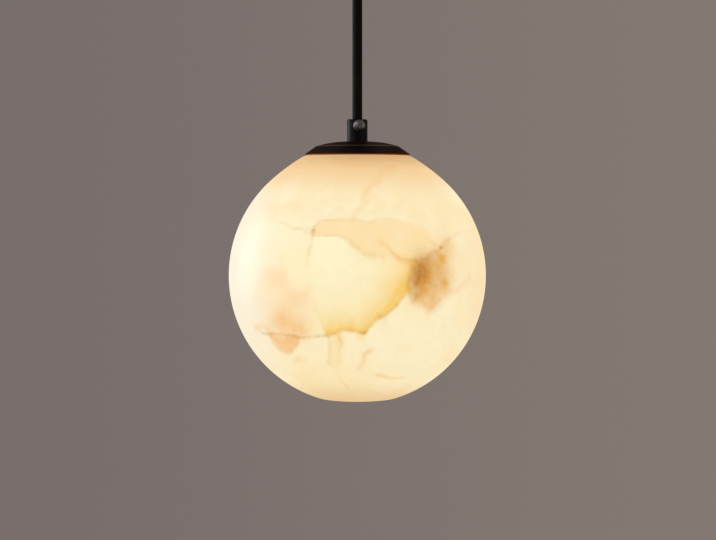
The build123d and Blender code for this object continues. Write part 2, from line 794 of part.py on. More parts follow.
globe_upper, globe_lower = globe_halves()
pieces = {
    "ceiling_bracket": bracket(),
    "mounting_studs": mounting_studs(),
    "stud_locknuts": stud_locknuts(),
    "canopy_cup": canopy_cup(),
    "cap_nut_left": cap_nut(-1),
    "cap_nut_right": cap_nut(1),
    "canopy_cord_grip": canopy_grip(),
    "canopy_grip_screw": Pos(0, 0, canopy_pivot_z) * grip_screw(canopy_grip_d / 2, swing_deg),
    "canopy_grip_washer": tube(
        canopy_washer_r, tail_hole_r, canopy_floor_z, canopy_floor_z + canopy_washer_t
    ),
    "canopy_grip_nut": ring_nut(
        thin_nut_af, tail_r + screw_gap, canopy_nut_top_z - thin_nut_h, canopy_nut_top_z
    ),
    "cord_canopy_end": sheath(
        canopy_pivot_z + cord_r + running_gap, canopy_tail_end_z + core_exit_gap
    ),
    **canopy_cores(),
    "terminal_block": terminal_block(),
    "terminal_tubes": terminal_tubes(),
    "terminal_screws": terminal_screws(),
    "canopy_earth_lead": canopy_earth_lead(),
    "canopy_earth_lug": canopy_earth_lug(),
    "canopy_earth_nut": canopy_earth_nut(),
    "cord": cord(),
    "lamp_cord_grip": lamp_grip(),
    "lamp_grip_screw": Pos(0, 0, lamp_pivot_z)
    * Rot(0, 0, lamp_screw_turn_deg - 90)
    * grip_screw(lamp_grip_d / 2, lamp_tilt_deg),
    "cord_lamp_end": sheath(lamp_tail_end_z - core_exit_gap, lamp_pivot_z - cord_r - running_gap),
    "lamp_cap": cap(),
    "threaded_fitter": fitter(),
    "lampholder_strap": strap(),
    "lamp_spacer": tube(spacer_r, tail_hole_r, strap_top_z, fitter_under_z),
    "lamp_grip_nut": ring_nut(thin_nut_af, tail_r + screw_gap, lamp_nut_under_z, strap_under_z),
    **lamp_cores(),
    "lamp_core_earth": lamp_core_earth(),
    "lamp_earth_lug": lamp_earth_lug(),
    "lamp_earth_screw": lamp_earth_screw(),
    "lampholder_body": holder(),
    "lampholder_contacts": holder_contacts(),
    "lampholder_screws": holder_screws(),
    "bulb_base": bulb_base(),
    "bulb_pins": bulb_pins(),
    "bulb_cover": bulb_cover(),
    "bulb_led_board": bulb_board(),
    "gasket": gasket(),
    "globe_upper": globe_upper,
    "globe_lower": globe_lower,
    "globe_ring": globe_ring(),
}

os.makedirs("parts", exist_ok=True)
for name, piece in pieces.items():
    shape = Compound(children=piece) if isinstance(piece, list) else piece
    export_step(shape, f"parts/{name}.step")

print(f"globe centre {globe_z:.3f}, lip {lip_z:.3f}, cap base {cap_base_z:.3f}")
print(f"pivots {canopy_pivot_z:.3f} and {lamp_pivot_z:.3f}, cord {canopy_pivot_z - lamp_pivot_z:.3f}")
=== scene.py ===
import math

import bpy
import numpy as np
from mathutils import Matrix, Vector
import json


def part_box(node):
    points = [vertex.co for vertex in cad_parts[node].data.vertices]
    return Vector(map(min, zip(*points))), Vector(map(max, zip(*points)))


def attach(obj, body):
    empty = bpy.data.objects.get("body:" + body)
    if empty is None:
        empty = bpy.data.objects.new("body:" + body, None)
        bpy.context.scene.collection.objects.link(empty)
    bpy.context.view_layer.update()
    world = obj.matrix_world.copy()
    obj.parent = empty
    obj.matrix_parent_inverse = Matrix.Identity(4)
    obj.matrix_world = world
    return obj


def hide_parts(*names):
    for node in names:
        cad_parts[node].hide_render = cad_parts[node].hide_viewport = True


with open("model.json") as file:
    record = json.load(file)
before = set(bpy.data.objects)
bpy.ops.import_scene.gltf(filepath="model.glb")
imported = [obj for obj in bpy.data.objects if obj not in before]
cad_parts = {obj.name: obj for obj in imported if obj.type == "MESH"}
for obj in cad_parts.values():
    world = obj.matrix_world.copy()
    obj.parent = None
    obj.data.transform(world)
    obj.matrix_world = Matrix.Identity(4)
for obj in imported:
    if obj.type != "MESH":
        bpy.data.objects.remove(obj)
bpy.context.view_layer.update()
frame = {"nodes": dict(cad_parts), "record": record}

bl_info = {
    "name": "Marble pendant light",
    "version": (1, 0, 0),
    "blender": (4, 5, 0),
    "location": "3D View > Sidebar > Pendant",
    "description": "Dresses a lit marble globe pendant with its cap, flex, canopy and wiring",
    "category": "Object",
}

MM = 0.001
GLOBE = np.array([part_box("globe_lower")[0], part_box("globe_upper")[1]])
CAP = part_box("lamp_cap")
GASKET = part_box("gasket")
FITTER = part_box("threaded_fitter")
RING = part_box("globe_ring")
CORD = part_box("cord")

# The globe's own numbers in millimetres, as the part's source has them, about its centre.
GLOBE_R = (GLOBE[1][0] - GLOBE[0][0]) / 2 / MM
WALL = 6.0
NECK_R = 26.0
LIP_R = 30.8
SHOULDER_R = 120.0
SHOULDER_START = 50.0
BASE_ARC = 150.0
BASE_FLAT = 1.3
BASE_BLEND = 40.0
CENTRE_Z = GLOBE[0][2] / MM + GLOBE_R - BASE_FLAT

# The cap's own numbers in millimetres: its skirt's height and run, its flat seat, wall and hole.
SKIRT = 4.9
SKIRT_RUN = 6.7
SEAT_R = 9.0
CAP_WALL = 1.0
TAIL_HOLE_R = 5.1

# The fitter's and the ring's, also in millimetres: their walls, the plate's flat and its wall's knee.
FITTER_WALL = 1.2
FITTER_FLAT_R = 8.0
KNEE_DROP = 2.8
RING_WALL = 1.9
CHAMFER = 0.3


# Numbers


def linear(code):
    """sRGB hex to the linear RGBA that sockets take."""
    parts = np.array([int(code[i : i + 2], 16) for i in (1, 3, 5)]) / 255
    parts = np.where(parts <= 0.04045, parts / 12.92, ((parts + 0.055) / 1.055) ** 2.4)
    return (*(float(v) for v in parts), 1.0)


def arc(centre, start, end, count):
    """Points on the short arc from start to end about a centre, both ends included."""
    a = math.atan2(start[1] - centre[1], start[0] - centre[0])
    b = math.atan2(end[1] - centre[1], end[0] - centre[0])
    turn = (b - a + math.pi) % (2 * math.pi) - math.pi
    angles = a + turn * np.linspace(0, 1, count)
    radius = math.hypot(start[0] - centre[0], start[1] - centre[1])
    return np.stack([centre[0] + radius * np.cos(angles), centre[1] + radius * np.sin(angles)], 1)


def run(*corners, step):
    """Straight runs through corners, with points about a step apart."""
    out = []
    for start, end in zip(corners[:-1], corners[1:]):
        start, end = np.array(start, float), np.array(end, float)
        count = max(int(np.ceil(np.linalg.norm(end - start) / step)), 1)
        out.append(start + (end - start) * np.linspace(0, 1, count, endpoint=False)[:, None])
    out.append(np.array([corners[-1]], float))
    return np.vstack(out)


def softened(corners, radii):
    """A closed outline with each corner rounded by its radius, as points (radius, height)."""
    pts = [np.array(p, float) for p in corners]
    out = []
    for i, (corner, radius) in enumerate(zip(pts, radii)):
        before, after = pts[i - 1], pts[(i + 1) % len(pts)]
        u = (before - corner) / np.linalg.norm(before - corner)
        v = (after - corner) / np.linalg.norm(after - corner)
        half = math.acos(float(np.clip(u @ v, -1, 1))) / 2
        if radius <= 0 or half > math.pi / 2 - 0.01:
            out.append(corner[None])
            continue
        back = radius / math.tan(half)
        middle = corner + (u + v) / np.linalg.norm(u + v) * radius / math.sin(half)
        out.append(arc(middle, corner + u * back, corner + v * back, 7))
    return np.vstack(out)


# Meshes


def fill_mesh(mesh, verts, corners, sizes, attributes, sharp):
    """Put vertex, corner and face arrays into a mesh at once."""
    starts = np.concatenate([[0], np.cumsum(sizes)[:-1]]).astype(np.int32)
    mesh.vertices.add(len(verts))
    mesh.loops.add(len(corners))
    mesh.polygons.add(len(sizes))
    mesh.vertices.foreach_set("co", np.ascontiguousarray(verts, np.float32).ravel())
    mesh.loops.foreach_set("vertex_index", corners.astype(np.int32))
    mesh.polygons.foreach_set("loop_start", starts)
    mesh.polygons.foreach_set("loop_total", sizes.astype(np.int32))
    mesh.update(calc_edges=True)
    mesh.shade_smooth()
    mesh.set_sharp_from_angle(angle=math.radians(sharp))
    for key, values in (attributes or {}).items():
        layer = mesh.attributes.new(key, "FLOAT", "POINT")
        layer.data.foreach_set("value", np.ascontiguousarray(values, np.float32))
    if mesh.validate():
        raise RuntimeError(f"{mesh.name} has faulty faces")


def settle(name, mesh, body, nodes):
    """Link a mesh as an object that rides on a body and stands for CAD nodes."""
    piece = bpy.data.objects.new(name, mesh)
    bpy.context.scene.collection.objects.link(piece)
    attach(piece, body)
    if nodes:
        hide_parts(*nodes)
    return piece


def revolved(name, radius, height, angles, body, *nodes, poles=False, attributes=None, sharp=35):
    """A surface r(s, a), z(s, a) in mm turned about Z: x = r cos a, y = r sin a.

    radius and height are (profile, angle) or (profile, 1) arrays. The outline runs
    anticlockwise, up its outer side, so faces point out. With poles the first and last
    rows lie on the axis and each closes in one vertex; without them the outline is closed.
    """
    rows, turns = radius.shape[0], len(angles)
    r = np.broadcast_to(radius, (rows, turns))
    z = np.broadcast_to(height, (rows, turns))
    grid = np.stack([r * np.cos(angles), r * np.sin(angles), z], 2) * MM
    a = np.arange(turns)
    b = np.roll(a, -1)
    if poles:
        verts = np.vstack([grid[0, :1], grid[1:-1].reshape(-1, 3), grid[-1, :1]])
        low = 1 + (np.arange(rows - 3)[:, None]) * turns
        high = low + turns
        last = len(verts) - 1
        fan_low = np.stack([np.zeros(turns, int), 1 + b, 1 + a], 1)
        fan_high = np.stack([last - turns + a, last - turns + b, np.full(turns, last)], 1)
        fans = np.concatenate([fan_low.ravel(), fan_high.ravel()])
        fan_sizes = np.full(2 * turns, 3)
    else:
        verts = grid.reshape(-1, 3)
        low = np.arange(rows)[:, None] * turns
        high = np.roll(np.arange(rows), -1)[:, None] * turns
        fans = np.zeros(0, int)
        fan_sizes = np.zeros(0, int)
    quads = np.stack([low + a, low + b, high + b, high + a], 2).reshape(-1)
    corners = np.concatenate([quads, fans])
    sizes = np.concatenate([np.full(len(quads) // 4, 4), fan_sizes])
    mesh = bpy.data.meshes.new(name)
    values = attributes(verts / MM) if attributes else None
    fill_mesh(mesh, verts, corners, sizes, values, sharp)
    return settle(name, mesh, body, nodes)


def ring_of_angles(count):
    """Even angles round the Z axis."""
    return np.linspace(0, 2 * np.pi, count, endpoint=False)


def facing_angles(count):
    """Angles round Z that stand closer together at the front, -Y, where the veins are finest.

    Their density is 0.3 plus the cosine of the turn from the front to the power 0.8.
    """
    samples = 7201
    fine = np.linspace(0, 2 * np.pi, samples)
    weight = 0.3 + np.clip(np.cos(fine + np.pi / 2), 0, None) ** 0.8
    total = np.concatenate([[0], np.cumsum((weight[1:] + weight[:-1]) / 2)])
    return np.interp(np.linspace(0, total[-1], count, endpoint=False), total, fine)


# Marble veins


def ripple(points, wavelength, seed):
    """A smooth field in -1..1: a sum of sines in seeded directions about one wavelength long."""
    waves = 7
    pick = np.random.default_rng(seed)
    ways = pick.normal(size=(waves, 3))
    ways /= np.linalg.norm(ways, axis=1, keepdims=True)
    ways *= 2 * np.pi / wavelength * pick.uniform(0.7, 1.5, (waves, 1))
    phase = pick.uniform(0, 2 * np.pi, waves)
    return np.sin(points @ ways.T + phase).sum(1) / math.sqrt(waves)


def curve_through(points, per=5):
    """A Catmull-Rom curve through points: per samples on each stretch."""
    p = np.array(points, float)
    p = np.vstack([2 * p[0] - p[1], p, 2 * p[-1] - p[-2]])
    a, b, c, d = (p[i : len(p) - 3 + i, None] for i in range(4))
    t = np.linspace(0, 1, per, endpoint=False)[None, :, None]
    arcs = 2 * b + (c - a) * t + (2 * a - 5 * b + 4 * c - d) * t**2 + (3 * b - a - 3 * c + d) * t**3
    return np.vstack([arcs.reshape(-1, 2) / 2, p[-2:-1]])


def on_globe(flat, side):
    """Points (x, z) in mm laid on the front (side -1) or back (side 1) of the globe."""
    reach = np.hypot(flat[:, 0], flat[:, 1])
    flat = flat * (np.minimum(reach, GLOBE_R * 0.997) / np.maximum(reach, 1e-6))[:, None]
    depth = np.sqrt(GLOBE_R**2 - (flat**2).sum(1))
    return np.stack([flat[:, 0], side * depth, flat[:, 1]], 1)


def stroke(points, path, width, start=1.0, end=1.0, side=-1, power=2.0):
    """How strongly a vein marks each point: strength along the path times exp(-(d / width)^power)."""
    behind, block, far = 12, 20000, 1e9
    line = on_globe(curve_through(path), side)
    nearest = np.full(len(points), far)
    along = np.zeros(len(points))
    near = np.flatnonzero(points[:, 1] * side > -behind)
    for chunk in np.array_split(near, max(len(near) // block, 1)):
        gap = ((points[chunk, None] - line[None]) ** 2).sum(2)
        pick = gap.argmin(1)
        nearest[chunk] = np.sqrt(gap[np.arange(len(chunk)), pick])
        along[chunk] = pick / (len(line) - 1)
    amount = start + (end - start) * along
    wide = width[0] + (width[1] - width[0]) * along if isinstance(width, tuple) else width
    return amount * np.exp(-((nearest / wide) ** power))


def patch(points, outline, soft, side=-1):
    """Inside a closed outline on one half of the globe: 1, falling smoothly to 0 over soft mm."""
    edge = curve_through([*outline, outline[0]], 4)
    flat = points[:, [0, 2]]
    inside = np.zeros(len(flat), bool)
    nearest = np.full(len(flat), 1e9)
    for start, end in zip(edge[:-1], edge[1:]):
        way = end - start
        off = flat - start
        t = np.clip(off @ way / max(way @ way, 1e-9), 0, 1)
        nearest = np.minimum(nearest, np.hypot(*(off - t[:, None] * way).T))
        crosses = (start[1] <= flat[:, 1]) != (end[1] <= flat[:, 1])
        rise = way[1] if abs(way[1]) > 1e-9 else 1e-9
        inside ^= crosses & (flat[:, 0] < start[0] + (flat[:, 1] - start[1]) * way[0] / rise)
    level = np.clip(np.where(inside, nearest, -nearest) / (2 * soft) + 0.5, 0, 1)
    return level * level * (3 - 2 * level) * (points[:, 1] * side > 0)


def cloud(points, centre, size, side=-1, turn=0.0, power=2.0):
    """A soft ellipse about a point of the globe, with half widths in mm: exp(-q^power)."""
    off = points - on_globe(np.array([centre], float), side)[0]
    angle = math.radians(turn)
    u = off[:, 0] * math.cos(angle) + off[:, 2] * math.sin(angle)
    v = off[:, 2] * math.cos(angle) - off[:, 0] * math.sin(angle)
    q = np.sqrt((u / size[0]) ** 2 + (v / size[1]) ** 2 + (off[:, 1] / (2 * max(size))) ** 2)
    return np.exp(-(q**power))


# Paths and outlines are (x, z) in mm from the globe's centre, placed on its face.
LEFT_HAIR = [(-56.2, 35.3), (-49.8, 32.9), (-45.7, 32.3), (-41, 29.4), (-36.3, 27.1), (-30.5, 26.5),
             (-24.7, 25.6)]
UPPER = [(-24.7, 25.6), (-24.1, 28.8), (-21.2, 30.9), (-14.2, 31.2), (-7.2, 31.8), (-0.2, 32), (6.8, 30.9),
         (13.8, 31.8), (20.9, 31.8), (27.9, 30.2), (34.9, 28.6), (40.7, 26.7)]
UPPER_LINK = [(31.4, 25.9), (39.5, 20.9), (44.8, 18.3), (48.6, 16.6)]
LOWER = [(-29.9, 24.4), (-24.7, 23.5), (-18.8, 23), (-11.8, 22.2), (-7.2, 20.7), (-3.7, 18.3), (-0.2, 15.4),
         (4.5, 11.9), (9.8, 10.9), (15, 10.4)]
STREAK = [(13.3, 18.9), (16.2, 16.9), (19.7, 13.4), (23.2, 9.9), (27.9, 9), (33.1, 8.3)]
FALL = [(-24.9, 23), (-25.8, 18.3), (-27.6, 13.7), (-28.8, 9), (-29.3, 4.3)]
SPOT_EDGE = [(49.1, 16.9), (44.8, 14.2), (40.1, 10.4), (35.4, 7.6), (32.8, 4.3), (30.8, -0.3), (29.6, -5),
             (31.1, -9.3), (33.5, -11.8)]
BRANCH = [(49.1, 17.4), (52.4, 20.7), (55.9, 23), (61.1, 25.3), (68.1, 25.9)]
LOW = [(-55, -33), (-49.2, -33.6), (-42.2, -33.6), (-35.2, -35), (-29.3, -35.4), (-24.7, -34.8),
       (-18.8, -34), (-13, -33), (-7.2, -31.9), (-1.3, -31.9), (3.1, -32.8), (5.7, -30.7), (10.3, -26.6),
       (16.2, -22.5), (20.9, -19), (23.2, -16.1), (25.8, -13.2), (29.6, -10.9)]
LOW_START = [(-58.5, -30.1), (-55.6, -28.9), (-52.7, -29.5), (-49.2, -33.3)]
WEDGE_EDGE = [(-49.8, -34.4), (-47.1, -39.8), (-41, -44.9), (-37.3, -42.4), (-33.8, -35.9)]
DRIP = [(-16.5, -34.8), (-15.6, -41.2), (-16.3, -49.4), (-13.6, -54), (-10.7, -56.4), (-7.7, -61.6),
        (-4.8, -65.7), (-2.5, -70.4)]
SECOND_DRIP = [(-10.4, -34.2), (-9.7, -38.9), (-10.4, -44.1), (-8.9, -49.4)]
SMEAR = [(7.4, -43), (4.7, -45.3), (3, -49.4), (0.8, -52.9)]
LOW_SMEAR = [(11.5, -57), (16.2, -58.1), (20.9, -59.4), (26.1, -58.9)]
TOP_BAND = [(19.7, 62.7), (14.4, 58), (10.3, 53.9), (6.3, 49.8), (4.5, 45.2), (3.1, 39.9), (-0.7, 35.8),
            (-2.5, 32.1)]
UMBER_EDGE = [(33.7, -13.2), (39.5, -16.9), (42.1, -18.1), (46.5, -14.4), (51.2, -10.4), (58.2, -7.9),
              (62.9, -3.3), (65.4, -0.1)]
TINGE = [(42.1, -18.8), (40.1, -23.7)]
FAINT_LOW = [(-33.4, -47.6), (-36.3, -51.7), (-37.2, -58.7), (-35.2, -65.7), (-30.5, -69.2)]
BAND_AREA = [(-24.1, 28.8), (-21.2, 30.9), (-7.2, 31.8), (6.8, 30.9), (22, 31.4), (34.9, 28.3),
             (40.7, 24.2), (47.7, 17.4), (39.5, 11.3), (31.4, 9), (24.4, 9), (16.2, 10.2), (9.2, 11),
             (4.5, 11.9), (-0.2, 15.4), (-3.7, 18.3), (-7.2, 20.7), (-11.8, 22.2), (-18.8, 23),
             (-24.1, 23.6)]
WHOLE_LOBE = [(-24.9, 23.5), (-18.8, 22.8), (-11.8, 21.9), (-7.2, 20.4), (-3.7, 18), (-0.2, 15),
              (4.5, 11.6), (9.8, 10.5), (16, 9.6), (24, 8.8), (31.5, 8), (33, 4.3), (31, -0.3), (29.8, -5),
              (30.5, -9), (25.8, -13.2), (20.9, -19), (16.2, -22.5), (10.3, -26.6), (5.7, -30.7),
              (3.1, -32.6), (-1.3, -31.7), (-7.2, -31.7), (-13, -32.8), (-17.6, -32.8), (-20.4, -29),
              (-23.6, -20), (-25, -12), (-25.5, -2), (-26.2, 8), (-25.3, 17)]
PEACH_AREA = [(-59.7, -1.5), (-55, 3.7), (-43.3, 3.2), (-39.3, -1.5), (-36.9, -6.8), (-30.5, -7.6),
              (-25.8, -8.3), (-25.8, -14.4), (-27.6, -20.2), (-28.8, -26), (-29.3, -34.4), (-36.3, -34.2),
              (-43.3, -32.4), (-50.4, -31.3), (-54.4, -26.6), (-56.8, -17.9), (-59.1, -9.7)]
DEEP_AREA = [(-49.2, -23.7), (-42.2, -21.9), (-36.3, -24.9), (-29.3, -28.9), (-29.6, -34.8), (-37.5, -34.8),
             (-45.7, -32.4)]
NOTCH_AREA = [(-41, 13.7), (-35.2, 16.6), (-26.4, 13.7), (-25.3, 4.3), (-27, -7.1), (-36.3, -6.4),
              (-39.3, -0.3)]
PALE_WEDGE = [(-24.9, -12), (-23.3, -20.2), (-20.2, -29.5), (-17.1, -32.8), (-28.9, -32.4), (-28.4, -28.9),
              (-26.4, -22.5)]
TAN_WEDGE = [(-49.8, -34.8), (-34, -35.9), (-37.3, -43), (-40.4, -44.9), (-46.6, -40.6)]
COLUMN_AREA = [(-16.5, -34.8), (-8.1, -34.2), (-8.1, -49.4), (-11.8, -52.9), (-14.2, -52.9), (-16.3, -48.8)]
UMBER_AREA = [(49.1, 16.6), (51.8, 20.1), (53.8, 13.7), (52.6, 4.3), (54.1, -2.7), (52.4, -9.1),
              (46.5, -14.4), (42.1, -17.9), (35.4, -14.4), (33.1, -11.4), (34.3, -2.7), (37.8, 6.7),
              (43.6, 13.4)]
UNDER_LOBE = [(26.1, -11.8), (31.4, -11.7), (34.3, -14.6), (38.6, -17.9), (39.5, -21.6), (38.4, -26),
              (33.7, -27), (27.9, -25.1), (24.1, -20.2), (23.4, -16.1)]

# The back, which the photograph doesn't show, has the same kinds of marks in the builder's own places.
BACK_MAIN = [(70, 24), (58, 27), (44, 21), (33, 22), (20, 29), (6, 27), (-7, 16), (-19, 12), (-33, 17),
             (-49, 13), (-64, 18), (-72, 14)]
BACK_LOW = [(73, -12), (60, -20), (47, -18), (36, -27), (20, -31), (8, -26), (-8, -33), (-20, -44),
            (-37, -45), (-52, -39), (-63, -30)]
BACK_FALL = [(6, 27), (9, 14), (4, 3), (9, -9), (5, -19), (8, -26)]
BACK_TOP = [(-19, 12), (-24, 26), (-21, 39), (-30, 50), (-28, 62)]
BACK_DRIP = [(20, -31), (23, -43), (18, -53), (22, -64)]
BACK_AREA = [(6, 27), (20, 29), (33, 22), (44, 21), (47, 6), (44, -8), (36, -27), (20, -31), (8, -26),
             (6, -10), (8, 10)]
BACK_PALE = [(-12, 8), (-30, 12), (-48, 9), (-56, -8), (-48, -28), (-30, -38), (-12, -29), (-2, -14)]


def marble_marks(verts):
    """The marble's marks at each vertex of the globe, as fields for its material.

    Each vertex is taken along its own ray to the globe's radius, so a mark runs through the
    wall, then strayed a little by ripples, so that no edge follows its path exactly.
    """
    rays = verts - np.array([0, 0, CENTRE_Z])
    rays *= GLOBE_R / np.linalg.norm(rays, axis=1, keepdims=True)
    p = rays.copy()
    for axis in range(3):
        p[:, axis] += 0.5 * ripple(rays, 14, 11 + axis) + 0.22 * ripple(rays, 4.5, 21 + axis)
    uneven = 0.5 + 0.5 * ripple(rays, 6.5, 31)
    patchy = 0.5 + 0.5 * ripple(rays, 19, 41)
    whole = patch(p, WHOLE_LOBE, 1.0)
    by_spot = stroke(p, SPOT_EDGE[3:], 13, 1, 1, power=1.3)
    by_low = stroke(p, LOW[5:], (11, 8.5), 0.9, 0.95, power=1.25) * (0.85 + 0.15 * uneven)
    line = 0.3 * stroke(p, LEFT_HAIR, 0.8, 0.15, 1.0)
    line += 0.4 * cloud(p, (-24.9, 25.4), (1.5, 1.9))
    line += stroke(p, UPPER, 0.75, 0.28, 0.1)
    line += 0.2 * stroke(p, UPPER_LINK, 0.8, 0.4, 1)
    line += stroke(p, LOWER, (0.75, 1.6), 0.3, 0.1)
    line += 0.3 * stroke(p, STREAK, 1.1, 0.3, 1)
    line += 0.26 * stroke(p, FALL, 0.85, 1, 0.35)
    line += 0.34 * stroke(p, SPOT_EDGE, (1.0, 2.2), 0.8, 1)
    line += 0.5 * cloud(p, (48.4, 16.6), (1.4, 1.1))
    line += 0.26 * stroke(p, BRANCH, 0.9, 1, 0.5)
    line += 0.47 * stroke(p, LOW, (1.1, 0.9), 1.05, 0.6) * (0.65 + 0.35 * uneven)
    for centre, size, level in (((2.2, -33), (1.8, 1.3), 0.34), ((-17.6, -34), (1.7, 0.8), 0.2),
                                ((-35.2, -35.2), (3.2, 0.9), 0.22), ((12.7, -24.4), (3, 2), 0.2)):
        line += level * cloud(p, centre, size)
    line += 0.28 * stroke(p, WEDGE_EDGE, 0.9, 0.5, 0.9)
    line += 0.2 * stroke(p, DRIP, 0.8, 1, 0.4)
    line += 0.18 * stroke(p, SECOND_DRIP, 0.8, 1, 0.4)
    line += 0.16 * stroke(p, FAINT_LOW, 1.0, 0.5, 0.2)
    line += 0.1 * stroke(p, TOP_BAND, 0.8, 1, 0.8) * uneven
    line += 0.14 * stroke(p, UMBER_EDGE, 1.0, 1, 0.25)
    from_left = np.clip((p[:, 0] + 63) / 20, 0, 1)
    peach = 0.5 * patch(p, PEACH_AREA, 5) * (0.75 + 0.25 * patchy) * from_left
    peach += 0.45 * patch(p, DEEP_AREA, 7) + 0.85 * patch(p, TAN_WEDGE, 2)
    peach += 0.5 * stroke(p, TOP_BAND, (3.6, 1.9), 0.9, 0.6, power=3) * (0.7 + 0.3 * uneven)
    peach += 0.25 * cloud(p, (-36, 40.5), (8, 2.6))
    peach += 0.25 * cloud(p, (-46, 37.5), (14, 4), turn=-12)
    peach += 0.4 * stroke(p, UMBER_EDGE, 3.0, 0.8, 0.4)
    peach += 0.5 * stroke(p, TINGE, 2.4, 1, 0.4)
    peach += 0.52 * stroke(p, LOW_START, 2.4, 0.9, 0.8)
    peach += 0.22 * cloud(p, (58, 5), (7, 12)) + 0.5 * stroke(p, SMEAR, 2.2, 1, 0.55)
    peach += 0.5 * stroke(p, LOW_SMEAR, 1.7, 1, 0.7) + 0.35 * cloud(p, (-33.5, -48.5), (3.6, 2.4))
    umber = 0.72 * patch(p, UMBER_AREA, 6.0) * (0.8 + 0.2 * uneven) + 0.12 * patch(p, TAN_WEDGE, 2)
    umber += 0.8 * cloud(p, (35.8, 0.5), (6.5, 12), turn=-8) + 0.4 * cloud(p, (48, 9), (3, 5), turn=15)
    umber += 0.2 * cloud(p, (44, -13.5), (4, 2.5), turn=30) + 0.3 * cloud(p, (50.5, -3), (2.2, 5))
    umber += 0.25 * stroke(p, SMEAR, 1.3, 1, 0.4) + 0.25 * stroke(p, LOW_SMEAR, 0.9, 1, 0.5)
    umber += 0.12 * patch(p, DEEP_AREA, 5) * (0.5 + 0.5 * uneven)
    smoke = 0.8 * cloud(p, (35.4, 0.8), (4.4, 9.8), turn=-8, power=2.0) * (0.8 + 0.2 * uneven)
    smoke += 0.26 * cloud(p, (42.0, 0.5), (6.4, 6.4)) + 0.3 * cloud(p, (41, 10), (6.0, 2.4), turn=35)
    honey = whole * np.clip(1.2 * by_low + 0.7 * by_spot, 0, 1)
    honey += 0.45 * stroke(p, STREAK, 3.0, 0.4, 1) + 0.3 * stroke(p, LOW[6:11], 1.8, 0.6, 0.9)
    honey += 0.45 * cloud(p, (2.0, -35.4), (2.6, 3.0)) + 0.3 * cloud(p, (-10.5, -37), (2.6, 4.2))
    honey += 0.22 * stroke(p, LOWER[5:], 2.6, 0.8, 0.9)
    band = patch(p, BAND_AREA, 1.6) * (0.75 + 0.25 * patchy)
    lobe = whole * np.clip(1 - 0.5 * (by_low + by_spot), 0, 1)
    pale = patch(p, UNDER_LOBE, 2.6) + 0.95 * patch(p, PALE_WEDGE, 1.2) + 0.8 * patch(p, NOTCH_AREA, 4)
    pale += 0.45 * cloud(p, (-22, -46), (10, 7)) + 0.3 * cloud(p, (40, -42), (20, 14))
    honey += 0.25 * patch(p, COLUMN_AREA, 2) + 0.18 * patch(p, PALE_WEDGE, 2)
    honey += 0.22 * cloud(p, (-4, -60), (30, 12))
    line += 0.5 * stroke(p, BACK_MAIN, (0.9, 1.4), 0.6, 0.9, 1) * (0.75 + 0.25 * uneven)
    line += 0.5 * stroke(p, BACK_LOW, (1.4, 0.9), 0.9, 0.6, 1) * (0.75 + 0.25 * uneven)
    line += 0.4 * stroke(p, BACK_FALL, 1.0, 1, 0.6, 1) + 0.35 * stroke(p, BACK_TOP, 1.0, 0.9, 0.3, 1)
    line += 0.35 * stroke(p, BACK_DRIP, 1.0, 1, 0.3, 1)
    umber += 0.55 * cloud(p, (-19, 12), (9, 7), 1) + 0.5 * cloud(p, (22, -33), (8, 6), 1)
    smoke += 0.6 * cloud(p, (-19, 13), (3.6, 3), 1) + 0.3 * cloud(p, (44, 20.5), (4, 2.6), 1)
    honey += 0.8 * stroke(p, BACK_LOW[2:8], 5.0, 0.5, 0.8, 1) + 0.5 * cloud(p, (-12, 7), (9, 8), 1)
    band += 0.9 * patch(p, BACK_AREA, 3, 1)
    lobe += patch(p, BACK_PALE, 5, 1)
    peach += 0.5 * cloud(p, (28, 48), (16, 8), 1, turn=-20) + 0.45 * cloud(p, (-40, -52), (14, 8), 1)
    line *= 1.4
    marks = {"vein": line, "peach": peach, "umber": umber, "smoke": smoke, "honey": honey, "band": band,
             "lobe": lobe, "pale": pale}
    return {key: np.clip(value, 0, 1) for key, value in marks.items()}


def globe_outline():
    """The globe's outline in mm about its centre: base arc, blend, sphere, shoulder, lip, neck, inside."""
    base_z = BASE_ARC - GLOBE_R + BASE_FLAT
    blend_z = (GLOBE_R - BASE_BLEND) ** 2 - (BASE_ARC - BASE_BLEND) ** 2 + base_z**2
    blend_z /= 2 * base_z
    blend = np.array([math.sqrt((GLOBE_R - BASE_BLEND) ** 2 - blend_z**2), blend_z])
    side = blend / np.linalg.norm(blend) * GLOBE_R
    base = np.array([0, base_z])
    base_end = base + (blend - base) / np.linalg.norm(blend - base) * BASE_ARC
    start = np.array([SHOULDER_START, math.sqrt(GLOBE_R**2 - SHOULDER_START**2)])
    shoulder = start * (1 - SHOULDER_R / GLOBE_R)
    lip_z = shoulder[1] + math.sqrt(SHOULDER_R**2 - (LIP_R - shoulder[0]) ** 2)
    inner = GLOBE_R - WALL
    neck_z = math.sqrt(inner**2 - NECK_R**2)
    turn = 0.5  # the radius of the lip's two edges
    rows = [
        arc((0, base_z), (0, BASE_FLAT - GLOBE_R), base_end, 34)[:-1],
        arc(blend, base_end, side, 14)[:-1],
        arc((0, 0), side, start, 150)[:-1],
        arc(shoulder, start, (LIP_R, lip_z), 26)[:-1],
        arc((LIP_R - turn, lip_z - turn), (LIP_R, lip_z - turn), (LIP_R - turn, lip_z), 5),
        arc((NECK_R + turn, lip_z - turn), (NECK_R + turn, lip_z), (NECK_R, lip_z - turn), 5),
        run((NECK_R, lip_z - turn - 1), (NECK_R, neck_z), step=3)[:-1],
        arc((0, 0), (NECK_R, neck_z), (0, -inner), 40),
    ]
    return np.vstack(rows)


# Material tools

SMOOTH = {"interpolation_type": "SMOOTHSTEP"}


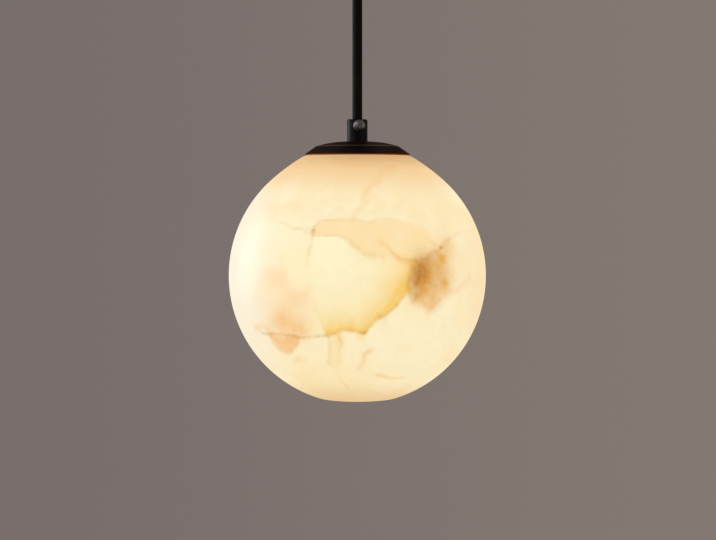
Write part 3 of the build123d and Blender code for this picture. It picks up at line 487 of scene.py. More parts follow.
def add(tree, kind, inputs=(), out=0, **settings):
    """Add a node, set its properties, set or link its inputs, and return one of its outputs.

    A hex code is set as its linear colour. A node without outputs returns nothing.
    """
    node = tree.nodes.new("ShaderNode" + kind)
    for key, value in settings.items():
        setattr(node, key, value)
    for socket, value in dict(inputs).items():
        if isinstance(value, bpy.types.NodeSocket):
            tree.links.new(value, node.inputs[socket])
        else:
            node.inputs[socket].default_value = linear(value) if isinstance(value, str) else value
    return node.outputs[out] if len(node.outputs) else None


def started(name):
    """A new material, its empty tree, and its object's own coordinates in millimetres."""
    made = bpy.data.materials.new(name)
    made.use_nodes = True
    tree = made.node_tree
    tree.nodes.clear()
    here = add(tree, "TexCoord", out="Object")
    return made, tree, add(tree, "VectorMath", {0: here, "Scale": 1 / MM}, operation="SCALE")


def shaded(tree, inputs):
    """End a material's tree with one Principled shader, its inputs given by name."""
    add(tree, "OutputMaterial", {"Surface": add(tree, "BsdfPrincipled", inputs)})


def tinted(tree, value, low, high, under, over, share=1.0):
    """A colour that turns from under to over, up to a share, as a value goes from low to high."""
    span = {"Value": value, "From Min": low, "From Max": high, "To Max": share}
    amount = add(tree, "MapRange", span, **SMOOTH)
    return add(tree, "Mix", {0: amount, 6: under, 7: over}, out=2, data_type="RGBA")


def grained(tree, height, smooth, rough, depth=0.0, strength=0.0):
    """Shader inputs for a fine grain: roughness that follows its height, and a bump depth mm deep."""
    span = {"Value": height, "From Min": 0.3, "From Max": 0.7, "To Min": smooth, "To Max": rough}
    inputs = {"Roughness": add(tree, "MapRange", span, **SMOOTH)}
    if depth:
        relief = {"Height": height, "Distance": depth * MM, "Strength": strength}
        inputs["Normal"] = add(tree, "Bump", relief)
    return inputs


# Materials


def lit_marble(tones):
    """Honey-veined marble, turned and polished thin, lit from inside.

    The light comes through the stone, so most of its colour is its own glow; its face adds
    little. Marks come from the globe's fields; noise adds cloudy calcite and fine grain.
    The glow also holds painted light: a painted highlight on the left side, and painted shade
    on the right side, under the cap and towards the foot.
    """
    made, tree, where = started("polished honey-veined marble, lit from inside")
    spot = add(tree, "SeparateXYZ", {0: where}).node.outputs
    across = spot["X"]
    up = add(tree, "Math", {0: spot["Z"], 1: CENTRE_Z}, operation="SUBTRACT")
    # Crystal clouds 38, 11 and 3 mm across, as in cloudy calcite.
    wide, middle, fine = (
        add(tree, "TexNoise", {"Vector": where, "Scale": 1 / size, "Detail": detail, "Roughness": rough,
                               "Distortion": warp})
        for size, detail, rough, warp in ((38, 3, 0.5, 0.6), (11, 4, 0.55, 0.8), (3, 5, 0.62, 0.4))
    )
    colour = tinted(tree, wide, 0.38, 0.66, tones.body, tones.body_warm)
    # Painted light: the left side is whitened as a painted highlight where the lights fall from the left, and
    # the right side is warmed and darkened as painted limb shade.
    colour = tinted(tree, across, 56, 76, colour, tones.right)
    colour = tinted(tree, across, -34, -72, colour, tones.left)
    # Each field mixes in the tone of its name, with its edge broken up by the grain.
    for key, level, ragged in (
        ("band", 0.9, 0.1), ("lobe", 0.9, 0.06), ("pale", 0.8, 0.1), ("peach", 0.85, 0.15),
        ("honey", 0.9, 0.08), ("umber", 0.9, 0.12), ("smoke", 0.95, 0.15), ("vein", 0.95, 0.3),
    ):
        field = add(tree, "Attribute", out="Fac", attribute_name=key)
        span = {"Value": fine, "From Min": 0.3, "From Max": 0.7, "To Min": 1 - ragged, "To Max": 1 + ragged}
        grain = add(tree, "MapRange", span, **SMOOTH)
        amount = add(tree, "Math", {0: field, 1: grain}, operation="MULTIPLY")
        amount = add(tree, "Math", {0: amount, 1: level}, operation="MULTIPLY", use_clamp=True)
        colour = add(tree, "Mix", {0: amount, 6: colour, 7: getattr(tones, key)}, out=2, data_type="RGBA")
    # Painted shade: the stone darkens towards the lamp's neck, most on the right, as a painted shadow of the
    # cap and ring, and towards the foot.
    colour = tinted(tree, up, 44, 64, colour, tones.shoulder, 0.72)
    span = {"Value": across, "From Min": -34, "From Max": 0, "To Min": 0.6}
    leftward = add(tree, "MapRange", span, **SMOOTH)
    dark = add(tree, "MapRange", {"Value": up, "From Min": 60, "From Max": 71, "To Max": 0.85}, **SMOOTH)
    dark = add(tree, "Math", {0: dark, 1: leftward}, operation="MULTIPLY")
    colour = add(tree, "Mix", {0: dark, 6: colour, 7: tones.neck}, out=2, data_type="RGBA")
    colour = tinted(tree, up, -60, -74, colour, tones.foot, 0.8)
    cloudy, grainy = (
        add(tree, "MapRange", {"Value": value, "From Min": low, "From Max": 1 - low, "To Min": 0.985,
                               "To Max": 1.015}, **SMOOTH)
        for value, low in ((middle, 0.25), (fine, 0.2))
    )
    level = add(tree, "Math", {0: cloudy, 1: grainy}, operation="MULTIPLY")
    glow = add(tree, "VectorMath", {0: colour, "Scale": level}, operation="SCALE")
    face = add(tree, "Mix", {0: 0.8, 6: glow, 7: "#000000"}, out=2, data_type="RGBA")
    shaded(tree, {"Base Color": face, "Emission Color": glow, "Emission Strength": tones.glow, "IOR": 1.5,
                  **grained(tree, middle, 0.36, 0.48)})
    return made


def bronzed_steel():
    """Spun steel with a blackened bronze finish: brown on the crown, blue-black on the skirt,
    with a painted highlight along the knuckle, a painted reflection of the globe's glow at the hem,
    and fine turning lines."""
    made, tree, where = started("blackened bronze finish on spun steel")
    up = add(tree, "SeparateXYZ", {0: where}, out="Z")
    level = add(tree, "VectorMath", {0: where, 1: (1, 1, 0)}, operation="MULTIPLY")
    radius = add(tree, "VectorMath", {0: level}, out="Value", operation="LENGTH")
    # Turning lines about 0.35 mm apart, drawn a little coarser than a lathe leaves them.
    lathe = add(tree, "CombineXYZ", {0: radius, 2: up})
    lines = add(tree, "TexNoise", {"Vector": lathe, "Scale": 1 / 0.35, "Detail": 2, "Roughness": 0.6})
    stain = add(tree, "TexNoise", {"Vector": where, "Scale": 1 / 7, "Detail": 4, "Roughness": 0.6,
                                   "Distortion": 0.5})
    crown = tinted(tree, stain, 0.35, 0.7, "#47362B", "#57453A")
    skirt = tinted(tree, stain, 0.35, 0.7, "#3C4450", "#474B53")
    high = add(tree, "Math", {0: up, 1: CAP[0][2] / MM}, operation="SUBTRACT")
    colour = tinted(tree, high, SKIRT - 0.7, SKIRT + 0.1, skirt, crown)
    # Painted highlight: a pale line along the knuckle, where its rounded edge reflects the lights.
    off = add(tree, "Math", {0: high, 1: SKIRT + 0.05}, operation="SUBTRACT")
    off = add(tree, "Math", {0: off}, operation="ABSOLUTE")
    colour = tinted(tree, off, 0.5, 0.1, colour, "#B79C84", 0.8)
    # Painted reflection: the hem is tinted orange-bronze as the globe's glow reflected in the skirt's lowest
    # edge.
    low = add(tree, "MapRange", {"Value": high, "From Min": 1.9, "From Max": 0.7}, **SMOOTH)
    above = add(tree, "Math", {0: high, 1: -0.5}, operation="GREATER_THAN")
    low = add(tree, "Math", {0: low, 1: above}, operation="MULTIPLY")
    colour = add(tree, "Mix", {0: low, 6: colour, 7: "#74390E"}, out=2, data_type="RGBA")
    shaded(tree, {"Base Color": colour, "Metallic": 1.0, "Specular Tint": "#B8ADA6",
                  **grained(tree, lines, 0.34, 0.5, 0.012, 0.5)})
    return made


def painted_steel():
    """Powder-coated steel: satin black with a fine orange peel, 1.1 mm across."""
    made, tree, where = started("satin black powder coat")
    peel = add(tree, "TexNoise", {"Vector": where, "Scale": 1 / 1.1, "Detail": 2, "Roughness": 0.45})
    dust = add(tree, "TexNoise", {"Vector": where, "Scale": 1 / 24, "Detail": 3})
    colour = tinted(tree, dust, 0.4, 0.75, "#0B0709", "#110A0D")
    shaded(tree, {"Base Color": colour, "IOR": 1.45, "Specular IOR Level": 0.18,
                  **grained(tree, peel, 0.32, 0.42, 0.03, 0.7)})
    return made


def black_oxide():
    """Black-oxide steel screws: dark, slightly blue, with a painted highlight on their rims."""
    made, tree, where = started("black-oxide steel")
    cloudy = add(tree, "TexNoise", {"Vector": where, "Scale": 1 / 1.6, "Detail": 3, "Roughness": 0.6})
    edge = add(tree, "NewGeometry", out="Pointiness")
    colour = tinted(tree, cloudy, 0.35, 0.7, "#7E7B82", "#98959B")
    # Painted highlight: the rims are lightened by pointiness, standing in for the light that the head's
    # bevelled rim reflects.
    colour = tinted(tree, edge, 0.52, 0.6, colour, "#B5B0AE", 0.6)
    shaded(tree, {"Base Color": colour, "Metallic": 0.9, **grained(tree, cloudy, 0.28, 0.42)})
    return made


def zinc_plate():
    """Zinc-plated steel: cool grey with a faint yellow-blue passivation cast and rolling marks."""
    made, tree, where = started("bright zinc-plated steel")
    cast = add(tree, "TexNoise", {"Vector": where, "Scale": 1 / 9, "Detail": 3, "Roughness": 0.55,
                                  "Distortion": 0.8})
    stretched = add(tree, "VectorMath", {0: where, 1: (0.12, 1.0, 1.0)}, operation="MULTIPLY")
    rolled = add(tree, "TexNoise", {"Vector": stretched, "Scale": 1 / 0.5, "Detail": 3, "Roughness": 0.6})
    colour = tinted(tree, cast, 0.35, 0.65, "#B4B6B9", "#BFBBAE")
    shaded(tree, {"Base Color": colour, "Metallic": 1.0, **grained(tree, rolled, 0.24, 0.4, 0.006, 0.4)})
    return made


def turned_aluminium():
    """Turned aluminium: pale, with fine feed lines 0.18 mm apart."""
    made, tree, where = started("turned aluminium")
    up = add(tree, "SeparateXYZ", {0: where}, out="Z")
    feed = add(tree, "CombineXYZ", {2: up})
    lines = add(tree, "TexNoise", {"Vector": feed, "Scale": 1 / 0.18, "Detail": 2, "Roughness": 0.6})
    cloudy = add(tree, "TexNoise", {"Vector": where, "Scale": 1 / 5, "Detail": 3})
    colour = tinted(tree, cloudy, 0.35, 0.65, "#C9CACB", "#B9BABC")
    shaded(tree, {"Base Color": colour, "Metallic": 1.0, **grained(tree, lines, 0.22, 0.36, 0.008, 0.5)})
    return made


def turned_brass():
    """Turned brass terminal parts, slightly dulled."""
    made, tree, where = started("turned brass")
    dull = add(tree, "TexNoise", {"Vector": where, "Scale": 1 / 2.2, "Detail": 3, "Roughness": 0.6})
    colour = tinted(tree, dull, 0.35, 0.7, "#D2A54E", "#A97F3C")
    shaded(tree, {"Base Color": colour, "Metallic": 1.0, **grained(tree, dull, 0.22, 0.42)})
    return made


def moulded(name, tone, shade, rough, grain_mm, extra=()):
    """A moulded plastic or rubber: its colour with faint flow marks and a fine tool texture."""
    made, tree, where = started(name)
    flow = add(tree, "TexNoise", {"Vector": where, "Scale": 1 / 8, "Detail": 3, "Distortion": 0.6})
    grain = add(tree, "TexNoise", {"Vector": where, "Scale": 1 / grain_mm, "Detail": 2})
    colour = tinted(tree, flow, 0.35, 0.7, tone, shade)
    shaded(tree, {"Base Color": colour, "IOR": 1.5, **dict(extra),
                  **grained(tree, grain, rough - 0.06, rough + 0.06, 0.02, 0.6)})
    return made


def silicone_rubber():
    """Milky silicone that the lamp's light leaks through: soft sheen and an amber glow."""
    glow = {"Sheen Weight": 0.15, "Emission Color": "#A86418", "Emission Strength": 0.14}
    return moulded("milky silicone rubber", "#604C36", "#54422E", 0.5, 0.6, glow)


def fired_ceramic():
    """Steatite: pressed, fired and unglazed, with small pits and iron specks."""
    made, tree, where = started("fired steatite ceramic")
    pits = add(tree, "TexNoise", {"Vector": where, "Scale": 1 / 0.5, "Detail": 3, "Roughness": 0.6})
    speck = add(tree, "TexNoise", {"Vector": where, "Scale": 1 / 0.9, "Detail": 1, "Roughness": 0.4})
    cloudy = add(tree, "TexNoise", {"Vector": where, "Scale": 1 / 6, "Detail": 3})
    colour = tinted(tree, cloudy, 0.35, 0.7, "#EDE8DA", "#DDD5C2")
    colour = tinted(tree, speck, 0.74, 0.8, colour, "#8D7A5E", 0.6)
    shaded(tree, {"Base Color": colour, "IOR": 1.55, **grained(tree, pits, 0.5, 0.68, 0.03, 0.6)})
    return made


def frosted_cover():
    """The bulb's frosted cover, lit: warm white, a little darker towards its collar."""
    made, tree, where = started("frosted polycarbonate, lit")
    up = add(tree, "SeparateXYZ", {0: where}, out="Z")
    up = add(tree, "Math", {0: up, 1: CENTRE_Z}, operation="SUBTRACT")
    frost = add(tree, "TexNoise", {"Vector": where, "Scale": 1 / 0.4, "Detail": 2})
    colour = tinted(tree, up, 14, 26, "#FFF0CF", "#F2CF95")
    colour = tinted(tree, frost, 0.3, 0.7, colour, "#FFFFFF", 0.1)
    relief = add(tree, "Bump", {"Height": frost, "Distance": 0.01 * MM, "Strength": 0.4})
    shaded(tree, {"Base Color": colour, "Emission Color": colour, "Emission Strength": 1.15, "Roughness": 0.5,
                  "IOR": 1.58, "Normal": relief})
    return made


def light_board():
    """The white board inside the bulb, with yellow phosphor on its chips."""
    made, tree, where = started("white solder mask and yellow phosphor")
    out = add(tree, "Math", {0: add(tree, "SeparateXYZ", {0: where}, out="Y")}, operation="ABSOLUTE")
    # The chips stand out from the board's faces, which lie under 0.55 mm from its middle.
    chip = add(tree, "Math", {0: out, 1: 0.55}, operation="GREATER_THAN")
    mottle = add(tree, "TexNoise", {"Vector": where, "Scale": 1 / 0.7, "Detail": 2})
    board = add(tree, "Mix", {0: mottle, 6: "#F3F1EA", 7: "#E6E2D6"}, out=2, data_type="RGBA")
    phosphor = add(tree, "Mix", {0: mottle, 6: "#F4C945", 7: "#E9B52E"}, out=2, data_type="RGBA")
    colour = add(tree, "Mix", {0: chip, 6: board, 7: phosphor}, out=2, data_type="RGBA")
    glow = add(tree, "Math", {0: chip, 1: 0.8}, operation="MULTIPLY")
    shaded(tree, {"Base Color": colour, "Emission Color": colour, "Emission Strength": glow,
                  "Roughness": 0.45})
    return made


def core_sheath(name, tone, stripe=None):
    """PVC core insulation: glossy, with the earth core's second colour as a stripe along it."""
    made, tree, where = started(name)
    grain = add(tree, "TexNoise", {"Vector": where, "Scale": 1 / 0.8, "Detail": 2})
    colour = tinted(tree, grain, 0.3, 0.7, tone, "#FFFFFF", 0.12)
    if stripe:
        turned = add(tree, "NewGeometry", out="Normal")
        facing = {0: turned, 1: (0.55, 0.6, 0.58)}
        side = add(tree, "VectorMath", facing, out="Value", operation="DOT_PRODUCT")
        colour = tinted(tree, side, 0.1, 0.16, colour, stripe)
    shaded(tree, {"Base Color": colour, "IOR": 1.5, **grained(tree, grain, 0.3, 0.42)})
    return made


def flex_sheath():
    """The round flex's black PVC sheath: matt, with faint drawing lines along it."""
    made, tree, where = started("matt black PVC flex")
    along = add(tree, "VectorMath", {0: where, 1: (1, 1, 0.05)}, operation="MULTIPLY")
    lines = add(tree, "TexNoise", {"Vector": along, "Scale": 1 / 0.5, "Detail": 3, "Roughness": 0.6})
    colour = tinted(tree, lines, 0.3, 0.7, "#0A0403", "#120805")
    shaded(tree, {"Base Color": colour, "IOR": 1.4, "Specular IOR Level": 0.25,
                  **grained(tree, lines, 0.55, 0.68, 0.02, 0.5)})
    return made


FINISHES = {
    "black_metal": painted_steel,
    "bronze_black_metal": bronzed_steel,
    "black_screw": black_oxide,
    "black_flex": flex_sheath,
    "zinc_steel": zinc_plate,
    "ring_aluminium": turned_aluminium,
    "brass": turned_brass,
    "silicone": silicone_rubber,
    "holder_ceramic": fired_ceramic,
    "bulb_plastic": lambda: moulded("white polycarbonate", "#EFEDE6", "#E2DFD5", 0.42, 0.7),
    "frosted_cover": frosted_cover,
    "led_board": light_board,
    "block_plastic": lambda: moulded("ivory polyamide", "#E9E3D2", "#DAD3BF", 0.48, 0.6),
    "brown_core": lambda: core_sheath("brown PVC core", "#5A3220"),
    "blue_core": lambda: core_sheath("blue PVC core", "#2F6FB3"),
    "earth_core": lambda: core_sheath("green and yellow PVC core", "#3F9A4A", "#E9D23C"),
}
MADE = {}


def finish_of(slot):
    """The material of a slot, made once."""
    if slot not in MADE:
        MADE[slot] = FINISHES[slot]()
    return MADE[slot]


def dress(piece, made):
    """Give a new piece its material."""
    piece.data.materials.clear()
    piece.data.materials.append(made)


# Settings


def tone(name, description, default):
    """A setting that holds one sRGB hex colour."""
    return bpy.props.StringProperty(name=name, description=description, default=default, maxlen=7)


class MarbleTones(bpy.types.PropertyGroup):
    """Colours of the lit marble, as sRGB hex, and how strongly it glows."""

    body: tone("Body", "Main lit colour of the stone", "#FFF0C8")
    body_warm: tone("Warm body", "Warmer clouds in the stone", "#FEE9BA")
    # The left and right tones are painted light: a painted highlight on the left side and painted limb shade
    # on the right.
    left: tone("Left side", "White calcite at the left", "#FAEED6")
    right: tone("Right side", "Warmer stone at the right", "#FBE4B6")
    band: tone("Band", "Peach band between the upper veins", "#FFE1A9")
    lobe: tone("Lobe", "Bright lobe in the middle", "#FFF3C8")
    pale: tone("Pale patches", "Pale patches by the veins", "#FFF0C2")
    peach: tone("Peach patches", "Soft peach patches", "#FBC585")
    honey: tone("Honey", "Honey stain above the low vein", "#FACD66")
    umber: tone("Umber", "Brown-pink patches", "#E4A540")
    smoke: tone("Smoke", "Dark inclusion", "#B4702A")
    vein: tone("Vein", "Thin brown veins", "#D39732")
    # The shoulder, neck and foot tones are painted shade: the cap's painted shadow over the shoulder and
    # neck, and darker stone towards the foot.
    shoulder: tone("Shoulder", "Stone above the lamp", "#F3C486")
    neck: tone("Neck", "Stone under the cap", "#D2A46C")
    foot: tone("Foot", "Stone at the bottom", "#EAC28C")
    glow: bpy.props.FloatProperty(name="Glow", description="Strength of the light through the stone",
                                  default=0.935, min=0, max=3)


class FlexSizes(bpy.types.PropertyGroup):
    """Sizes of the flex and the screw threads."""

    diameter: bpy.props.FloatProperty(name="Flex diameter", description="Outside diameter of the flex",
                                      default=CORD[1][0] - CORD[0][0], unit="LENGTH", subtype="DISTANCE")
    pitch: bpy.props.FloatProperty(name="Thread pitch", description="Rise of the globe's thread in one turn",
                                   default=0.003, unit="LENGTH", subtype="DISTANCE")
    thread: bpy.props.FloatProperty(name="Thread depth", description="Depth of the globe's thread",
                                    default=0.0005, unit="LENGTH", subtype="DISTANCE")


# Pieces


class PENDANT_OT_stage(bpy.types.Operator):
    """Camera, soft lights, plain floor and the room's colour"""

    bl_idname = "pendant.stage"
    bl_label = "Stage"

    def execute(self, context):
        scene = context.scene
        scene.view_settings.view_transform = "Standard"
        middle = CENTRE_Z * MM
        self.camera(scene, middle)
        self.floor(context)
        self.lamp("left window", (-1.9, 0.75, middle + 0.35), (0.9, 1.4), 9, (1.0, 0.97, 0.94))
        self.lamp("front softbox", (-1.1, -2.2, middle + 1.3), (1.0, 1.0), 7, (1.0, 0.98, 0.95))
        self.lamp("right fill", (2.2, -1.2, middle + 0.2), (1.6, 1.6), 3, (1.0, 0.95, 0.9))
        self.room(scene)
        return {"FINISHED"}

    def camera(self, scene, middle):
        """A level camera 3 m in front, whose frame is 418 mm wide where the globe hangs."""
        view_width, distance, sensor = 0.4179, 3.0, 36
        aside, over = 0.0004, 0.0032
        camera = bpy.data.cameras.new("camera")
        camera.sensor_width = sensor
        camera.lens = sensor * distance / view_width
        camera.clip_end = 50
        eye = bpy.data.objects.new("camera", camera)
        eye.location = (aside, -distance, middle + over)
        eye.rotation_euler = (math.pi / 2, 0, 0)
        scene.collection.objects.link(eye)
        scene.camera = eye

    def floor(self, context):
        """A plain floor under the hanging lamp, wide enough for the views from above and below."""
        width, level = 40, -2.4
        bpy.ops.mesh.primitive_plane_add(size=width, location=(0, 0, level))
        floor = context.object
        floor.name = "floor"
        made, tree, where = started("plain pale floor")
        dusty = add(tree, "TexNoise", {"Vector": where, "Scale": 1 / 90, "Detail": 3})
        colour = tinted(tree, dusty, 0.3, 0.7, "#CFC9C2", "#D6D1CA")
        seen = add(tree, "LightPath", out="Is Camera Ray")
        glow = add(tree, "Math", {0: seen, 1: 0.45}, operation="MULTIPLY")
        shaded(tree, {"Base Color": colour, "Roughness": 0.8, "Emission Color": "#B5AFA8",
                      "Emission Strength": glow})
        floor.data.materials.append(made)

    def lamp(self, name, place, size, power, tint):
        """A rectangular area light that faces the globe."""
        data = bpy.data.lights.new(name, "AREA")
        data.shape = "RECTANGLE"
        data.size, data.size_y = size
        data.energy = power
        data.color = tint
        lamp = bpy.data.objects.new(name, data)
        lamp.location = place
        away = lamp.location - Vector((0, 0, CENTRE_Z * MM))
        lamp.rotation_euler = away.to_track_quat("Z", "Y").to_euler()
        bpy.context.scene.collection.objects.link(lamp)

    def room(self, scene):
        """A world that shows a taupe wall and lights the object with a dim neutral grey.

        Gloss also meets a bright window to the left, which rims the metal and the stone there.
        """
        world = bpy.data.worlds.new("taupe room")
        scene.world = world
        world.use_nodes = True
        tree = world.node_tree
        tree.nodes.clear()
        way = add(tree, "TexCoord", out="Generated")
        across = add(tree, "SeparateXYZ", {0: way}, out="X")
        wall = tinted(tree, across, -0.07, 0.07, "#786F6D", "#837972")
        rays = add(tree, "LightPath").node.outputs
        window = add(tree, "MapRange", {"Value": across, "From Min": -0.55, "From Max": -0.8}, **SMOOTH)
        window = add(tree, "Math", {0: window, 1: rays["Is Glossy Ray"]}, operation="MULTIPLY")
        wall = add(tree, "Mix", {0: window, 6: wall, 7: "#FFFFFF"}, out=2, data_type="RGBA")
        seen = rays["Is Camera Ray"]
        for ray in ("Is Glossy Ray", "Is Transmission Ray"):
            seen = add(tree, "Math", {0: seen, 1: rays[ray]}, operation="MAXIMUM")
        dim = add(tree, "Background", {"Color": "#B9B4AE", "Strength": 0.28})
        show = add(tree, "Background", {"Color": wall, "Strength": 1.0})
        add(tree, "OutputWorld", {"Surface": add(tree, "MixShader", {0: seen, 1: dim, 2: show})})


class PENDANT_OT_flex(bpy.types.Operator):
    """The black flex between the two cord grips"""

    bl_idname = "pendant.flex"
    bl_label = "Flex"

    def execute(self, context):
        sizes = context.scene.pendant_flex
        half = sizes.diameter / 2
        top = CORD[1][2] - half
        bottom = CORD[0][2] + half
        curve = bpy.data.curves.new("flex", "CURVE")
        curve.dimensions = "3D"
        # The points carry the radius, because Blender adds it to a curve's box as it stands.
        curve.bevel_depth = 1
        curve.bevel_resolution = 8
        curve.resolution_u = 16
        curve.use_fill_caps = True
        line = curve.splines.new("NURBS")
        levels = np.linspace(top, bottom, 6)
        line.points.add(len(levels) - 1)
        for point, level in zip(line.points, levels):
            point.co = (0, 0, level, 1)
            point.radius = half
        line.order_u = 3
        line.use_endpoint_u = True
        piece = bpy.data.objects.new("flex", curve)
        context.scene.collection.objects.link(piece)
        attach(piece, "cord")
        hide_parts("cord")
        curve.materials.append(finish_of("black_flex"))
        return {"FINISHED"}


class PENDANT_OT_globe(bpy.types.Operator):
    """The hollow marble globe with its veins"""

    bl_idname = "pendant.globe"
    bl_label = "Marble globe"

    def execute(self, context):
        columns = 344
        outline = globe_outline()
        radius, height = outline[:, :1], outline[:, 1:] + CENTRE_Z
        angles = facing_angles(columns)
        piece = revolved("marble_globe", radius, height, angles, "globe", "globe_lower", "globe_upper",
                         poles=True, attributes=marble_marks)
        dress(piece, lit_marble(context.scene.pendant_marble))
        return {"FINISHED"}


class PENDANT_OT_cap(bpy.types.Operator):
    """The low spun cap over the globe's neck"""

    bl_idname = "pendant.cap"
    bl_label = "Cap"

    def execute(self, context):
        base, top = CAP[0][2] / MM, CAP[1][2] / MM
        rim = NECK_R + 0.5
        knuckle = np.array([LIP_R - SKIRT_RUN, base + SKIRT])
        seat = np.array([SEAT_R, top])
        flank = SKIRT_RUN / SKIRT
        inset = CAP_WALL * (math.hypot(1, flank) + flank)
        # Each corner with the radius that rounds it: hem, skirt, knuckle, crown, seat, hole and back.
        corners = [
            ((rim, base), 0.15), ((LIP_R - 0.25, base), 0.12), ((LIP_R, base + 0.2), 0.12),
            (knuckle, 1.1), (self.dome(knuckle, seat), 60), (seat, 0.8), ((TAIL_HOLE_R, top), 0.15),
            ((TAIL_HOLE_R, top - CAP_WALL), 0.15), ((SEAT_R - 0.1, top - CAP_WALL), 0.4),
            (self.crossing(knuckle, seat), 0.6), ((LIP_R - inset + 0.05, base + CAP_WALL), 0.2),
            ((rim, base + CAP_WALL), 0.15),
        ]
        outline = softened(*zip(*corners))
        piece = revolved("spun_cap", outline[:, :1], outline[:, 1:], ring_of_angles(160), "lamp", "lamp_cap")
        dress(piece, finish_of("bronze_black_metal"))
        return {"FINISHED"}

    def dome(self, knuckle, seat):
        """The corner over the crown's middle that a long radius rounds to a shallow dome."""
        lift = 0.8
        way = seat - knuckle
        return (knuckle + seat) / 2 + lift * np.array([way[1], -way[0]]) / np.linalg.norm(way)

    def crossing(self, knuckle, seat):
        """The inner knuckle: where the crown's and the skirt's inner faces, one wall in, meet."""
        crown = knuckle - seat
        crown /= np.linalg.norm(crown)
        flank = np.array([SKIRT_RUN, -SKIRT])
        flank /= np.linalg.norm(flank)
        a = seat - CAP_WALL * np.array([-crown[1], crown[0]])
        b = knuckle - CAP_WALL * np.array([-flank[1], flank[0]])
        steps = np.linalg.solve(np.stack([crown, -flank], 1), b - a)
        return a + crown * steps[0]


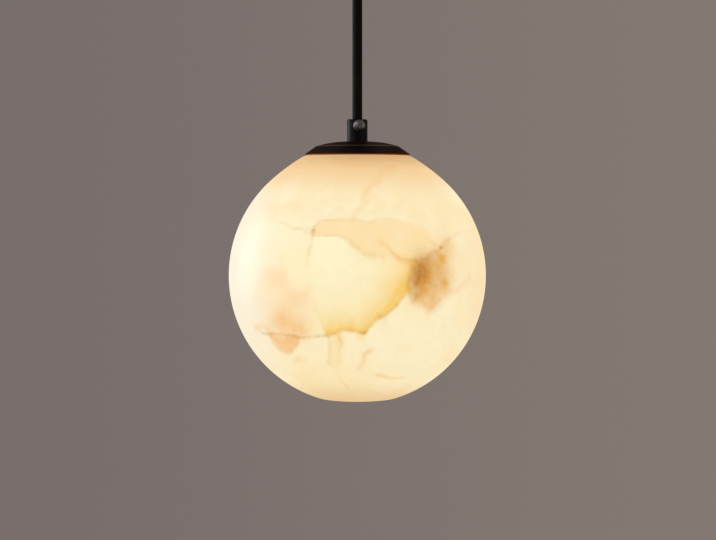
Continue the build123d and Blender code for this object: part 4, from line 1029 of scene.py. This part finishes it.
class PENDANT_OT_fitting(bpy.types.Operator):
    """The threaded ring in the neck, the fitter it screws on to, and the gasket"""

    bl_idname = "pendant.fitting"
    bl_label = "Ring, fitter and gasket"

    def execute(self, context):
        sizes = context.scene.pendant_flex
        pitch, deep = sizes.pitch / MM, sizes.thread / MM
        angles = ring_of_angles(144)
        self.ring(angles, pitch, deep)
        self.fitter(angles, pitch, deep)
        self.gasket()
        return {"FINISHED"}

    def thread(self, level, angles, pitch, start, end):
        """A rounded thread, 0 to 1: a sine of height and angle that fades in and out at its ends."""
        wave = 0.5 + 0.5 * np.cos(2 * np.pi * (level / pitch) - angles[None])
        fade = np.clip(np.minimum(level - start, end - level) / (0.5 * pitch), 0, 1)
        return wave**1.5 * fade

    def ring(self, angles, pitch, deep):
        """The insert: plain outside with a glue groove, thread inside."""
        low, high = RING[0][2] / MM, RING[1][2] / MM
        outer = (RING[1][0] - RING[0][0]) / 2 / MM
        inner = outer - RING_WALL
        first, last = low + CHAMFER, high - CHAMFER
        groove, half_width = 0.25, 0.8
        up = run((outer, first), (outer, last), step=0.4)
        up[:, 0] -= groove * np.exp(-(((up[:, 1] - (low + high) / 2) / half_width) ** 4))
        down = run((inner, last), (inner, first), step=0.2)
        outline = np.vstack([[(outer - CHAMFER, low)], up, [(outer - CHAMFER, high), (inner + CHAMFER, high)],
                             down, [(inner + CHAMFER, low)]])
        radius = np.repeat(outline[:, :1], len(angles), 1)
        rows = slice(1 + len(up) + 2, 1 + len(up) + 2 + len(down))
        radius[rows] += deep * self.thread(down[:, 1:], angles, pitch, first, last)
        piece = revolved("threaded_ring", radius, outline[:, 1:], angles, "globe", "globe_ring")
        dress(piece, finish_of("ring_aluminium"))

    def fitter(self, angles, pitch, deep):
        """The gallery: top plate, cone and a wall with a pressed thread outside."""
        low, high = FITTER[0][2] / MM, FITTER[1][2] / MM
        outer = (FITTER[1][0] - FITTER[0][0]) / 2 / MM
        inner, knee, under = outer - FITTER_WALL, high - KNEE_DROP, high - FITTER_WALL
        drop = FITTER_WALL * math.hypot(1, KNEE_DROP / (outer - FITTER_FLAT_R))
        soft = 0.2
        up = run((outer, low + soft), (outer, knee - soft), step=0.25)
        down = run((inner, knee - drop), (inner, low), step=0.6)
        plate = [(outer - soft, knee + 0.02), (FITTER_FLAT_R, high), (TAIL_HOLE_R, high),
                 (TAIL_HOLE_R, under), (FITTER_FLAT_R - 0.1, under)]
        outline = np.vstack([[(outer - CHAMFER, low)], up, plate, down])
        radius = np.repeat(outline[:, :1], len(angles), 1)
        level = up[:, 1:]
        pressed = self.thread(level, angles, pitch, low + 0.8, knee - 1.2)
        radius[1 : 1 + len(up)] += deep * (pressed - 1) * np.clip((knee - level) / 2, 0, 1)
        piece = revolved("gallery_fitter", radius, outline[:, 1:], angles, "lamp", "threaded_fitter")
        dress(piece, finish_of("zinc_steel"))

    def gasket(self):
        """The silicone ring with rounded edges."""
        low, high = GASKET[0][2] / MM, GASKET[1][2] / MM
        outer = (GASKET[1][0] - GASKET[0][0]) / 2 / MM
        inner = NECK_R + 0.5
        outline = softened([(inner, low), (outer, low), (outer, high), (inner, high)], [0.15] * 4)
        angles = ring_of_angles(128)
        piece = revolved("silicone_gasket", outline[:, :1], outline[:, 1:], angles, "gasket", "gasket")
        dress(piece, finish_of("silicone"))


class PENDANT_OT_hardware(bpy.types.Operator):
    """Finishes for the grips, screws, canopy, wiring, lampholder and bulb"""

    bl_idname = "pendant.hardware"
    bl_label = "Hardware finishes"

    def execute(self, context):
        slots = {part["node"]: part["material_slot"] for part in frame["record"]["subparts"]}
        replaced = {"globe_lower", "globe_upper", "globe_ring", "lamp_cap", "threaded_fitter", "gasket",
                    "cord"}
        for node, piece in frame["nodes"].items():
            if node in replaced:
                continue
            piece.data.materials.clear()
            piece.data.materials.append(finish_of(slots[node]))
        return {"FINISHED"}


class PENDANT_PT_panel(bpy.types.Panel):
    """Pieces and settings of the pendant"""

    bl_label = "Marble pendant"
    bl_idname = "PENDANT_PT_panel"
    bl_space_type = "VIEW_3D"
    bl_region_type = "UI"
    bl_category = "Pendant"

    def draw(self, context):
        for operator in STEPS:
            self.layout.operator(operator.bl_idname)
        for group in (context.scene.pendant_flex, context.scene.pendant_marble):
            box = self.layout.box()
            for key in group.__annotations__:
                box.prop(group, key)


STEPS = (
    PENDANT_OT_stage, PENDANT_OT_flex, PENDANT_OT_globe, PENDANT_OT_cap, PENDANT_OT_fitting,
    PENDANT_OT_hardware,
)
GROUPS = (MarbleTones, FlexSizes)


def register():
    """Register the settings, the operators and the panel."""
    for group in (*GROUPS, *STEPS, PENDANT_PT_panel):
        bpy.utils.register_class(group)
    bpy.types.Scene.pendant_marble = bpy.props.PointerProperty(type=MarbleTones)
    bpy.types.Scene.pendant_flex = bpy.props.PointerProperty(type=FlexSizes)


def unregister():
    """Undo register."""
    del bpy.types.Scene.pendant_flex
    del bpy.types.Scene.pendant_marble
    for group in reversed((*GROUPS, *STEPS, PENDANT_PT_panel)):
        bpy.utils.unregister_class(group)


def main():
    register()
    bpy.ops.pendant.stage()
    bpy.ops.pendant.flex()
    bpy.ops.pendant.globe()
    bpy.ops.pendant.cap()
    bpy.ops.pendant.fitting()
    bpy.ops.pendant.hardware()


if __name__ == "__main__":
    main()
